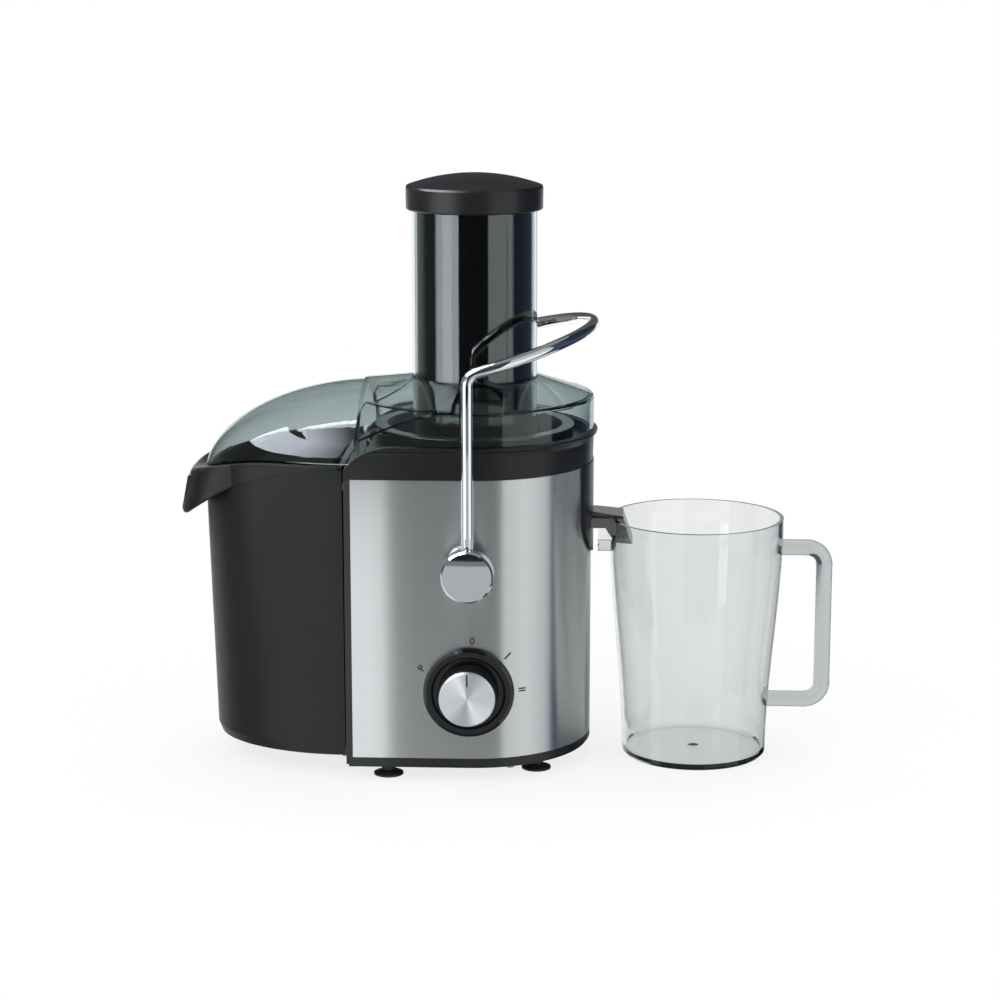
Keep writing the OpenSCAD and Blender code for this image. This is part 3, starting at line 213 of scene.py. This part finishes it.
def clear(name, absorb, density, rough=0.02, wave=0.06):
    """Clear moulded plastic: it takes up light along its depth, so its rims and edges are dark."""
    n = Nodes(name)
    wavy = n.noise(22, 2)
    n.link(n.ramp(wavy, tinted((0.975, 0.985, 0.98), 0.01)), n.bsdf.inputs["Base Color"])
    n.link(n.spread(wavy, rough, rough + 0.02), n.bsdf.inputs["Roughness"])
    n.bump(wavy, wave, WAVE_DEPTH)
    n.set(Transmission_Weight=1.0, IOR=ACRYLIC_IOR, Specular_IOR_Level=0.5)
    volume = n.add("ShaderNodeVolumeAbsorption")
    volume.inputs["Color"].default_value = (*absorb, 1)
    volume.inputs["Density"].default_value = density
    n.link(volume.outputs["Volume"], n.out.inputs["Volume"])
    return n.mat


def steel_material():
    """Horizontal brushing: fine lines along the wrap, so highlights stretch up and down."""
    n = Nodes("steel brushed")
    lines = n.noise(420, 3, (0.03, 0.03, 4))
    tones = n.ramp(lines, [(0.25, (0.62, 0.62, 0.615)), (0.75, (0.69, 0.69, 0.685))])
    n.link(tones, n.bsdf.inputs["Base Color"])
    n.link(n.spread(lines, 0.30, 0.36), n.bsdf.inputs["Roughness"])
    n.set(Metallic=1.0, Anisotropic=1.0, Anisotropic_Rotation=0.25)
    tangent = n.add("ShaderNodeTangent", direction_type="RADIAL", axis="Z")
    n.link(tangent.outputs["Tangent"], n.bsdf.inputs["Tangent"])
    return n.mat


def spun_material():
    """Turned aluminium: rings about the dial's axis, which give opposite bright wedges."""
    n = Nodes("spun aluminium")
    rings = n.noise(900, 2, (1, 0.01, 1))
    n.link(n.ramp(rings, tinted((0.95, 0.96, 0.975), 0.01)), n.bsdf.inputs["Base Color"])
    n.link(n.spread(rings, 0.38, 0.44), n.bsdf.inputs["Roughness"])
    n.set(Metallic=1.0, Anisotropic=0.85, Anisotropic_Rotation=0.25)
    tangent = n.add("ShaderNodeTangent", direction_type="RADIAL", axis="Y")
    n.link(tangent.outputs["Tangent"], n.bsdf.inputs["Tangent"])
    return n.mat


def domed_chrome(centre, lean):
    """Chrome whose flat face is very slightly domed about the pivot; lean is the slope per metre."""
    mat = metal("domed chrome", CHROME, 0.06, depth=0, spread=0.01, tint=0.01)
    n = Nodes.of(mat)
    away = n.add("ShaderNodeVectorMath", operation="SUBTRACT")
    away.inputs[1].default_value = centre
    n.link(n.coords(), away.inputs[0])
    parts = n.add("ShaderNodeSeparateXYZ")
    n.link(away.outputs["Vector"], parts.inputs["Vector"])
    flat = n.add("ShaderNodeCombineXYZ")
    n.link(parts.outputs["X"], flat.inputs["X"])
    n.link(parts.outputs["Z"], flat.inputs["Z"])
    square = n.add("ShaderNodeVectorMath", operation="DOT_PRODUCT")
    n.link(flat.outputs["Vector"], square.inputs[0])
    n.link(flat.outputs["Vector"], square.inputs[1])
    height = n.add("ShaderNodeMath", operation="MULTIPLY")
    height.inputs[1].default_value = -lean / 2
    n.link(square.outputs["Value"], height.inputs[0])
    n.bump(height.outputs["Value"], 1.0, 1.0)
    return mat


MATERIALS = {
    "black_plastic": plastic("black satin", (0.010, 0.010, 0.011), 0.30, specular=0.42),
    "gloss_black": plastic("black gloss", (0.006, 0.006, 0.008), 0.05, mottle=0.02),
    "bin_black": grained("bin black", (0.009, 0.009, 0.010), 0.36, specular=0.26),
    "foot_rubber": grained("rubber", (0.016, 0.016, 0.017), 0.6),
    "seal_rubber": grained("seal rubber", (0.20, 0.06, 0.05), 0.6),
    "plated_steel": metal("plated steel", (0.6, 0.6, 0.6), 0.25),
    "brushed_wrap": steel_material(),
    "chrome": metal("chrome", CHROME, 0.05, depth=0, spread=0.01, tint=0.01),
    "spun_metal": spun_material(),
    "switch_plastic": plastic("switch", (0.7, 0.67, 0.6), 0.4),
    "board_green": plastic("board", (0.03, 0.18, 0.08), 0.35),
    "lamination": metal("lamination", (0.3, 0.31, 0.33), 0.45, (1, 1, 12)),
    "copper": metal("copper", (0.75, 0.33, 0.16), 0.3, (1, 1, 8)),
    "brass": metal("brass", (0.72, 0.55, 0.26), 0.3),
    "cast_aluminium": metal("cast aluminium", (0.62, 0.63, 0.65), 0.45),
    "spout_grey": metal("spout grey", (0.20, 0.20, 0.205), 0.26, depth=0),
    "hub_white": plastic("hub", (0.75, 0.75, 0.72), 0.3),
    "sieve_steel": metal("sieve steel", (0.30, 0.31, 0.32), 0.30),
    "clear_lid": clear("clear lid", (0.0, 0.20, 0.19), 170),
    "clear_tube": clear("clear tube", (0.0, 0.45, 0.42), 22, wave=0.02),
    "clear_jug": clear("clear jug", (0.0, 0.10, 0.06), 50, wave=0.10),
    "clear_handle": clear("clear handle", (0.0, 0.10, 0.10), 60, rough=0.2),
}


def dress_frame():
    """Every CAD node gets the material of its slot."""
    slot_of = {row["node"]: row["material_slot"] for row in frame["record"]["subparts"]}
    for name, obj in nodes.items():
        material = MATERIALS[slot_of[name]]
        obj.data.materials.clear()
        obj.data.materials.append(material)
        for face in obj.data.polygons:
            face.material_index = 0


DISC_LEAN = 10.0

dress_frame()
# the ring shines less than the other black parts
nodes["juice_collector"].data.materials[0] = plastic("ring black", (0.008, 0.008, 0.009), 0.30, specular=0.28)
nodes["pivot_disc_front"].data.materials[0] = domed_chrome(PIVOT, DISC_LEAN)

# ---------------------------------------------------------------- building helpers


def link(obj, material, body):
    bpy.context.scene.collection.objects.link(obj)
    obj.data.materials.append(MATERIALS[material] if isinstance(material, str) else material)
    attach(obj, body)
    return obj


def mesh_object(name, verts, faces, smooth=True):
    data = bpy.data.meshes.new(name)
    data.from_pydata([tuple(v) for v in verts], [], faces)
    data.update()
    for face in data.polygons:
        face.use_smooth = smooth
    return bpy.data.objects.new(name, data)


def tube_along(name, path, radius, sides=24):
    """A round bar along a path of points, with flat ends; the section is carried without twist."""
    points = [Vector(p) for p in path]
    tangents = []
    for i in range(len(points)):
        a = points[max(i - 1, 0)]
        b = points[min(i + 1, len(points) - 1)]
        tangents.append((b - a).normalized())
    side = Vector((0, 1, 0)) if abs(tangents[0].y) < 0.9 else Vector((1, 0, 0))
    side = (side - side.dot(tangents[0]) * tangents[0]).normalized()
    verts, faces = [], []
    for i, (point, tangent) in enumerate(zip(points, tangents)):
        side = (side - side.dot(tangent) * tangent).normalized()
        other = tangent.cross(side)
        for k in range(sides):
            angle = 2 * math.pi * k / sides
            verts.append(point + radius * (math.cos(angle) * side + math.sin(angle) * other))
        if i:
            base = (i - 1) * sides
            for k in range(sides):
                j = (k + 1) % sides
                faces.append((base + k, base + j, base + sides + j, base + sides + k))
    faces.append(tuple(range(sides - 1, -1, -1)))
    last = (len(points) - 1) * sides
    faces.append(tuple(range(last, last + sides)))
    return mesh_object(name, verts, faces)


def arc(centre, radius, a0, a1, steps):
    """Points on an arc in a plane, as (u, v) pairs, angles in degrees."""
    points = []
    for i in range(steps + 1):
        angle = math.radians(a0 + (a1 - a0) * i / steps)
        points.append((centre[0] + radius * math.cos(angle), centre[1] + radius * math.sin(angle)))
    return points


# ---------------------------------------------------------------- locking arm

ARM_SLOPE = math.radians(15.9)
ARM_BEND = 0.009
ARM_CORNER = 0.062
ARM_WIRE = 0.0039
ARM_EASE = 0.00015  # keeps the round wire inside the box of the CAD wire
LEG_STEPS, BEND_STEPS, CORNER_STEPS, END_STEPS = 6, 8, 14, 18


def arm_loop(leg_y, length):
    """Half of the loop in its own plane, from the leg to the middle of the end."""
    across = leg_y - ARM_CORNER
    rest = length - ARM_CORNER
    end_u = (rest ** 2 - across ** 2) / (2 * rest)
    end_r = length - end_u
    meet = math.degrees(math.atan2(across, -end_u))
    corner = arc((0, across), ARM_CORNER, 90, meet, CORNER_STEPS)
    end = arc((end_u, 0), end_r, meet, 0, END_STEPS)
    return corner + end[1:]


def make_arm():
    """Leg, bend and half loop of the wire, and the same mirrored to the rear."""
    lo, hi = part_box("arm_wire")
    leg_y = hi.y - ARM_WIRE - ARM_EASE
    foot_z = lo.z
    # the loop's end is the highest point of the wire
    loop_start = Vector((ARM_BEND * (1 - math.sin(ARM_SLOPE)), 0, 0))
    length = (hi.x - ARM_WIRE - loop_start.x) / math.cos(ARM_SLOPE)
    end_z = hi.z - ARM_WIRE
    loop_start.z = end_z - length * math.sin(ARM_SLOPE)
    leg_top = loop_start.z - ARM_BEND * math.cos(ARM_SLOPE)
    path = [Vector((0, -leg_y, foot_z + (leg_top - foot_z) * i / LEG_STEPS)) for i in range(LEG_STEPS + 1)]
    for u, w in arc((ARM_BEND, leg_top), ARM_BEND, 180, 90 + math.degrees(ARM_SLOPE), BEND_STEPS)[1:]:
        path.append(Vector((u, -leg_y, w)))
    half = arm_loop(leg_y, length)
    for u, v in half[1:]:
        path.append(loop_start + Vector((u * math.cos(ARM_SLOPE), -v, u * math.sin(ARM_SLOPE))))
    mirrored = [Vector((p.x, -p.y, p.z)) for p in reversed(path[:-1])]
    arm = tube_along("arm_wire_smooth", path + mirrored, ARM_WIRE)
    link(arm, "chrome", "locking_arm")
    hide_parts("arm_wire")


make_arm()

# ---------------------------------------------------------------- pulp bin: visor and rounded rim

GRIP_OUT = 0.014
RIM_FLAT = 0.041
RIM_ARC = 0.150
COLLAR_ARC = 0.175
COLLAR_DROP = 0.0020
COLLAR_PROUD = 0.001
VISOR_B = 0.054
VISOR_SPAN = math.radians(37)
VISOR_OFF = 0.0003
VISOR_THICK = 0.0016
VISOR_COLUMNS = 48
LIP_DROP = 0.0412
BEAD_R = 0.0016
BEAD_IN, BEAD_DOWN = 0.0004, 0.0012
BEAD_SPAN = math.radians(89.4)
BEAD_STEPS = 72
# how far out and how far down the visor's section runs, as shares of its reach and drop
VISOR_SECTION = [
    (0, 0), (0.32, 0), (0.50, 0.02), (0.60, 0.07), (0.68, 0.18), (0.80, 0.48), (0.93, 0.80), (1, 1),
]


class Bin:
    """Plan and rim of the pulp bin; angles are taken from its left end, negative to the front."""

    def __init__(self):
        lo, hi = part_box("pulp_bin")
        self.right, self.rim = hi.x, hi.z
        self.reach = hi.x - lo.x
        self.a = self.reach - GRIP_OUT
        self.b = -lo.y - COLLAR_PROUD

    def wall(self, angle):
        """Distance from the middle of the right side to the outside of the wall."""
        return 1 / math.hypot(math.cos(angle) / self.a, math.sin(angle) / self.b)

    def rim_at(self, out):
        """Height of the rim at a distance out to the left of the right side."""
        past = max(out - RIM_FLAT, 0)
        return self.rim - RIM_ARC + math.sqrt(RIM_ARC ** 2 - past ** 2)

    def collar_at(self, out):
        """Height of the lower edge of the collar."""
        return self.rim - COLLAR_DROP - COLLAR_ARC + math.sqrt(COLLAR_ARC ** 2 - (out - COLLAR_PROUD) ** 2)

    def point(self, angle, distance, z):
        return Vector((self.right - distance * math.cos(angle), distance * math.sin(angle), z))


def between(values, t):
    """Value on the curve from the second to the third of four neighbours, at the share t."""
    a, b, c, d = values
    return 0.5 * (2 * b + (c - a) * t + (2 * a - 5 * b + 4 * c - d) * t ** 2 + (3 * b - a - 3 * c + d) * t ** 3)


def smooth_section(points, steps):
    """Points along a soft curve through the given ones."""
    out = []
    for i in range(len(points) - 1):
        p0, p1, p2 = points[max(i - 1, 0)], points[i], points[i + 1]
        p3 = points[min(i + 2, len(points) - 1)]
        for k in range(steps):
            out.append(tuple(between(values, k / steps) for values in zip(p0, p1, p2, p3)))
    return out + [points[-1]]


def make_visor(pulp):
    """Thin shell that flares out of the rim over the left end and dips to a lip."""
    section = smooth_section(VISOR_SECTION, 3)
    rows = []
    for i in range(VISOR_COLUMNS + 1):
        angle = VISOR_SPAN * (2 * i / VISOR_COLUMNS - 1)
        wall = pulp.wall(angle)
        lip = ((math.cos(angle) / pulp.reach) ** 4 + (abs(math.sin(angle)) / VISOR_B) ** 4) ** -0.25
        start = wall + VISOR_OFF
        flare = max(lip - start, VISOR_OFF)
        lip_out = (start + flare) * math.cos(angle)
        top = pulp.rim_at(wall * math.cos(angle))
        drop = top - max(pulp.collar_at(lip_out), pulp.rim - LIP_DROP)
        outer = [(start + flare * f, top - drop * g) for f, g in section]
        inner = [(d - VISOR_THICK, z) for d, z in reversed(outer)]
        rows.append([pulp.point(angle, d, z) for d, z in outer + inner])
    count = len(rows[0])
    verts = [v for row in rows for v in row]
    faces = []
    for i in range(VISOR_COLUMNS):
        for k in range(count):
            j = (k + 1) % count
            faces.append((i * count + k, (i + 1) * count + k, (i + 1) * count + j, i * count + j))
    faces.append(tuple(range(count - 1, -1, -1)))
    faces.append(tuple(range(VISOR_COLUMNS * count, (VISOR_COLUMNS + 1) * count)))
    visor = mesh_object("bin_visor", verts, faces)
    visor.data.polygons[-1].use_smooth = visor.data.polygons[-2].use_smooth = False
    link(visor, "bin_black", "pulp_bin")


def make_rim_bead(pulp):
    """Rounded edge along the rim of the bin."""
    path = []
    for i in range(BEAD_STEPS + 1):
        angle = BEAD_SPAN * (2 * i / BEAD_STEPS - 1)
        wall = pulp.wall(angle)
        path.append(pulp.point(angle, wall - BEAD_IN, pulp.rim_at(wall * math.cos(angle)) - BEAD_DOWN))
    link(tube_along("bin_rim_bead", path, BEAD_R, 12), "bin_black", "pulp_bin")


make_visor(Bin())
make_rim_bead(Bin())

# ---------------------------------------------------------------- dial marks

MARK_LIFT = 0.00003
MARK_THICK = 0.00012
MARK_BOLD = 0.00012
MARK_RING = DIAL_R + 0.0045
POINTER_HALF = 0.00055
POINTER_TOP, POINTER_BOTTOM = 0.0016, 0.0092  # below the top of the cap
POINTER_LIFT, POINTER_DEPTH = 0.00002, 0.0002
mark_ink = plastic("mark ink", (0.02, 0.02, 0.02), 0.5)


def make_mark(name, text, x, z, size, turn):
    """A printed generic dial mark on the flat or curved front of the steel."""
    curve = bpy.data.curves.new(name, "FONT")
    curve.body = text
    curve.size = size
    curve.align_x = "CENTER"
    curve.align_y = "CENTER"
    curve.extrude = MARK_THICK
    curve.offset = MARK_BOLD
    obj = bpy.data.objects.new(name, curve)
    # the front is flat up to the middle and round to the right of it
    theta = math.asin(x / BODY_R) if x > 0 else 0
    depth = BODY_R * math.cos(theta) + MARK_LIFT
    upright = Matrix.Rotation(theta, 4, "Z") @ Matrix.Rotation(math.pi / 2, 4, "X")
    obj.matrix_world = Matrix.Translation((x, -depth, z)) @ upright @ Matrix.Rotation(turn, 4, "Z")
    link(obj, mark_ink, "machine")


def dial_mark(name, text, size, angle, turn):
    """Place a mark on the ring of marks round the dial; the angle is clockwise from the top."""
    around = math.radians(angle)
    x = DIAL.x + MARK_RING * math.sin(around)
    z = DIAL.z + MARK_RING * math.cos(around)
    make_mark(name, text, x, z, size, math.radians(turn))


dial_mark("mark_off", "0", 0.0066, 4, 0)
dial_mark("mark_one", "I", 0.0084, 47, -45)
dial_mark("mark_two", "II", 0.0068, 90, -90)
dial_mark("mark_pulse", "P", 0.0068, -63, 60)


def make_pointer():
    """Dark engraved line on the dial's cap, from near its rim towards the middle."""
    lo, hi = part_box("dial_cap")
    centre = (lo + hi) / 2
    outline = arc((centre.x, hi.z - POINTER_TOP), POINTER_HALF, 0, 180, 8)
    outline += arc((centre.x, hi.z - POINTER_BOTTOM), POINTER_HALF, 180, 360, 8)
    front, back = lo.y - POINTER_LIFT, lo.y + POINTER_DEPTH
    verts = [(x, front, z) for x, z in outline] + [(x, back, z) for x, z in outline]
    count = len(outline)
    faces = [tuple(range(count)), tuple(range(2 * count - 1, count - 1, -1))]
    faces += [(i, i + count, (i + 1) % count + count, (i + 1) % count) for i in range(count)]
    link(mesh_object("dial_pointer", verts, faces, smooth=False), mark_ink, "speed_dial")


make_pointer()

# ---------------------------------------------------------------- studio

SURROUND_R = 0.70
CARD_BASE, CARD_LOW, CARD_HIGH, CARD_ROOF = -0.9, 0.02, 0.33, 1.1
STEP_LOW, STEP_HIGH = 0.108, 0.152
FRONT_LEFT_AZ, FRONT_RIGHT_AZ = -26, 28
FLOOR_SIZE = 6.0
FLOOR_DROP = 0.0002
SHADE_R = 0.16
WHITE_R = 0.42
COOL = (0.93, 0.98, 1.0)
NAVY = (0.45, 0.65, 1.0)
LILAC = (0.82, 0.88, 1.0)
LILAC_GLOW = 13.0
LILAC_Z, LILAC_TOP_Z = 0.64, 1.09
OVERHEAD_Z = 1.08
SURROUND = [
    # name, from and to azimuth, strength of the low, middle and high card, colour
    ("rear_left", -180, -141, 1.3, 1.2, 0.10, COOL),
    ("left", -141, -104, 0.75, 0.25, 0.2, COOL),
    ("left_dark", -104, -72, 0.3, 0.08, 0.2, COOL),
    ("left_bright", -72, -57, 0.4, 2.5, 0.35, COOL),
    ("front_bright", -57, -38, 0.4, 3.4, 0.35, COOL),
    ("front_left", -38, FRONT_LEFT_AZ, 0.4, 2.6, 0.35, COOL),
    ("front", FRONT_LEFT_AZ, FRONT_RIGHT_AZ, 0.50, 0.02, 0.06, COOL),
    ("front_right", FRONT_RIGHT_AZ, 78, 0.85, 1.1, 0.6, COOL),
    ("right", 78, 97, 0.20, 0.12, 0.10, NAVY),
    ("right_back", 97, 145, 0.05, 0.12, 0.05, NAVY),
    ("rear", 145, 180, 0.3, 0.9, 0.10, COOL),
]
# name, place, what it points at, size, power
LAMPS = [
    ("key", (-1.3, -1.6, 1.7), (0, 0, 0.15), (1.2, 1.2), 22),
    ("fill", (1.5, -1.2, 1.0), (0.05, 0, 0.15), (0.9, 1.2), 7),
    ("top", (0.0, 0.4, 1.9), (0.02, 0, 0.2), (1.4, 1.0), 12),
]


def make_world():
    """Soft cool light on the machine; plain white where the camera, glass or a mirror looks past it."""
    world = bpy.data.worlds.new("studio")
    bpy.context.scene.world = world
    world.use_nodes = True
    tree = world.node_tree
    lit = tree.nodes["Background"]
    lit.inputs["Color"].default_value = (0.95, 0.97, 1.0, 1)
    lit.inputs["Strength"].default_value = 0.62
    white = tree.nodes.new("ShaderNodeBackground")
    white.inputs["Color"].default_value = (1, 1, 1, 1)
    white.inputs["Strength"].default_value = 1.0
    path = tree.nodes.new("ShaderNodeLightPath")
    first, second = (tree.nodes.new("ShaderNodeMath") for _ in range(2))
    first.operation = second.operation = "MAXIMUM"
    mix = tree.nodes.new("ShaderNodeMixShader")
    tree.links.new(path.outputs["Is Camera Ray"], first.inputs[0])
    tree.links.new(path.outputs["Is Transmission Ray"], first.inputs[1])
    tree.links.new(first.outputs["Value"], second.inputs[0])
    tree.links.new(path.outputs["Is Glossy Ray"], second.inputs[1])
    tree.links.new(second.outputs["Value"], mix.inputs["Fac"])
    tree.links.new(lit.outputs["Background"], mix.inputs[1])
    tree.links.new(white.outputs["Background"], mix.inputs[2])
    tree.links.new(mix.outputs["Shader"], tree.nodes["World Output"].inputs["Surface"])


def hide_from(obj, *kinds):
    for kind in kinds:
        setattr(obj, "visible_" + kind, False)


def make_floor():
    """Pale floor that keeps the shadow near the machine and turns into plain white further out."""
    corners = [(x * FLOOR_SIZE, y * FLOOR_SIZE, 0) for x, y in ((-1, -1), (1, -1), (1, 1), (-1, 1))]
    floor = mesh_object("floor", corners, [(0, 1, 2, 3)], smooth=False)
    floor.location = ((low("pulp_bin").x + high("jug").x) / 2, 0, -FLOOR_DROP)
    n = Nodes("floor")
    pale = n.ramp(n.noise(3), [(0.3, (0.93, 0.93, 0.93)), (0.7, (0.95, 0.95, 0.95))])
    n.link(pale, n.bsdf.inputs["Base Color"])
    n.set(Roughness=0.6, Specular_IOR_Level=0.1)
    white = n.add("ShaderNodeEmission")
    white.inputs["Strength"].default_value = 1.0
    distance = n.add("ShaderNodeVectorMath", operation="LENGTH")
    n.link(n.coords(), distance.inputs[0])
    fade = n.add("ShaderNodeMapRange", interpolation_type="SMOOTHSTEP")
    fade.inputs["From Min"].default_value = SHADE_R
    fade.inputs["From Max"].default_value = WHITE_R
    fade.inputs["To Min"].default_value = 0.80
    fade.inputs["To Max"].default_value = 1.0
    n.link(distance.outputs["Value"], fade.inputs["Value"])
    mix = n.add("ShaderNodeMixShader")
    n.link(fade.outputs["Result"], mix.inputs["Fac"])
    n.link(n.bsdf.outputs["BSDF"], mix.inputs[1])
    n.link(white.outputs["Emission"], mix.inputs[2])
    n.link(mix.outputs["Shader"], n.out.inputs["Surface"])
    bpy.context.scene.collection.objects.link(floor)
    floor.data.materials.append(n.mat)
    hide_from(floor, "glossy")


def glow_material(name, strength, colour=COOL):
    n = Nodes(name)
    glow = n.add("ShaderNodeEmission")
    glow.inputs["Color"].default_value = (*colour, 1)
    glow.inputs["Strength"].default_value = strength
    n.link(glow.outputs["Emission"], n.out.inputs["Surface"])
    return n.mat


def fading_glow(name, x0, strength0, x1, strength1, colour):
    """Glow that changes steadily with x, from strength0 at x0 to strength1 at x1."""
    mat = glow_material(name, strength0, colour)
    n = Nodes.of(mat)
    parts = n.add("ShaderNodeSeparateXYZ")
    n.link(n.coords(), parts.inputs["Vector"])
    fade = n.add("ShaderNodeMapRange")
    for socket, value in (("From Min", x0), ("From Max", x1), ("To Min", strength0), ("To Max", strength1)):
        fade.inputs[socket].default_value = value
    n.link(parts.outputs["X"], fade.inputs["Value"])
    n.link(fade.outputs["Result"], n.tree.nodes["Emission"].inputs["Strength"])
    return mat


def stage_panel(name, verts, faces, material, through=False):
    """A studio card that only reflections show; with through, also those seen through clear plastic."""
    panel = mesh_object(name, verts, faces, smooth=False)
    bpy.context.scene.collection.objects.link(panel)
    panel.data.materials.append(material)
    hide_from(panel, "camera", "diffuse", "volume_scatter", "shadow")
    if not through:
        hide_from(panel, "transmission")


def make_panel(name, az0, az1, z0, z1, glow, through, steps=12):
    """A curved card round the machine. Azimuth 0 is the front, 90 the right."""
    verts, faces = [], []
    for i in range(steps + 1):
        angle = math.radians(az0 + (az1 - az0) * i / steps)
        x, y = SURROUND_R * math.sin(angle), -SURROUND_R * math.cos(angle)
        verts += [(x, y, z0), (x, y, z1)]
        if i:
            faces.append((2 * i - 2, 2 * i, 2 * i + 1, 2 * i - 1))
    stage_panel(name, verts, faces, glow, through)


def flat_panel(name, x0, x1, y0, y1, glow):
    """A level card overhead."""
    corners = [(x0, y0, OVERHEAD_Z), (x1, y0, OVERHEAD_Z), (x1, y1, OVERHEAD_Z), (x0, y1, OVERHEAD_Z)]
    stage_panel(name, corners, [(0, 1, 2, 3)], glow)


def round_panel(name, z, glow, through=False):
    """A level card over the whole of the surround."""
    rim = [math.radians(a) for a in range(0, 360, 15)]
    verts = [(SURROUND_R * math.sin(a), SURROUND_R * math.cos(a), z) for a in rim]
    stage_panel(name, verts, [tuple(range(len(verts)))], glow, through)


def make_surround():
    """The ring of cards in three heights. Those at the rear don't show through clear plastic."""
    for name, az0, az1, low_glow, middle_glow, high_glow, colour in SURROUND:
        in_front = name not in ("rear_left", "rear")
        on_right = in_front and az0 >= FRONT_RIGHT_AZ
        bottom = STEP_HIGH if name == "front" else CARD_LOW
        make_panel("card_low_" + name, az0, az1, CARD_BASE, CARD_LOW,
                   glow_material("low " + name, low_glow, colour), on_right)
        make_panel("card_middle_" + name, az0, az1, bottom, CARD_HIGH,
                   glow_material("middle " + name, middle_glow, colour), in_front)
        make_panel("card_high_" + name, az0, az1, CARD_HIGH, CARD_ROOF,
                   glow_material("high " + name, high_glow, colour), in_front)


def make_near_card():
    """White card near the left of the front, which lights the left strip of the steel."""
    left, right, bottom, top, y = -0.34, -0.0626, -0.4, 0.205, -0.17
    corners = [(left, y, bottom), (right, y, bottom), (right, y, top), (left, y, top)]
    stage_panel("card_near", corners, [(0, 1, 2, 3)], glow_material("card near", 1.2))


def make_chute_cards():
    """Lilac cards high at the front left, which show low in the chute, with a bright edge in its ridge."""
    lilac = fading_glow("lilac", -0.60, LILAC_GLOW, -0.24, 0.08 * LILAC_GLOW, LILAC)
    make_panel("card_lilac", -100, -17, LILAC_Z, LILAC_TOP_Z, lilac, False)
    flat_panel("card_lilac_top", -0.60, -0.17, -0.64, -0.10, lilac)
    flat_panel("card_ridge", -0.62, -0.13, -0.10, -0.03, glow_material("ridge", LILAC_GLOW))


def make_front_steps():
    """Two grey steps low in front, which show near the top of the disc."""
    steps = [("front_low", CARD_LOW, STEP_LOW, 0.50), ("step", STEP_LOW, STEP_HIGH, 0.22)]
    for name, z0, z1, strength in steps:
        make_panel("card_" + name, FRONT_LEFT_AZ, FRONT_RIGHT_AZ, z0, z1, glow_material(name, strength), True)


def make_area(name, at, to, size, power):
    data = bpy.data.lights.new(name, "AREA")
    data.shape = "RECTANGLE"
    data.size, data.size_y = size
    data.energy = power
    obj = bpy.data.objects.new(name, data)
    obj.location = at
    obj.rotation_euler = (Vector(to) - Vector(at)).to_track_quat("-Z", "Y").to_euler()
    bpy.context.scene.collection.objects.link(obj)
    obj.visible_camera = False


make_world()
make_floor()
make_surround()
make_near_card()
make_chute_cards()
make_front_steps()
round_panel("card_under", CARD_BASE, glow_material("card under", 0.12))
round_panel("card_ceiling", CARD_ROOF, glow_material("card ceiling", 0.28), through=True)
for lamp in LAMPS:
    make_area(*lamp)

bpy.context.scene.view_settings.view_transform = "Standard"
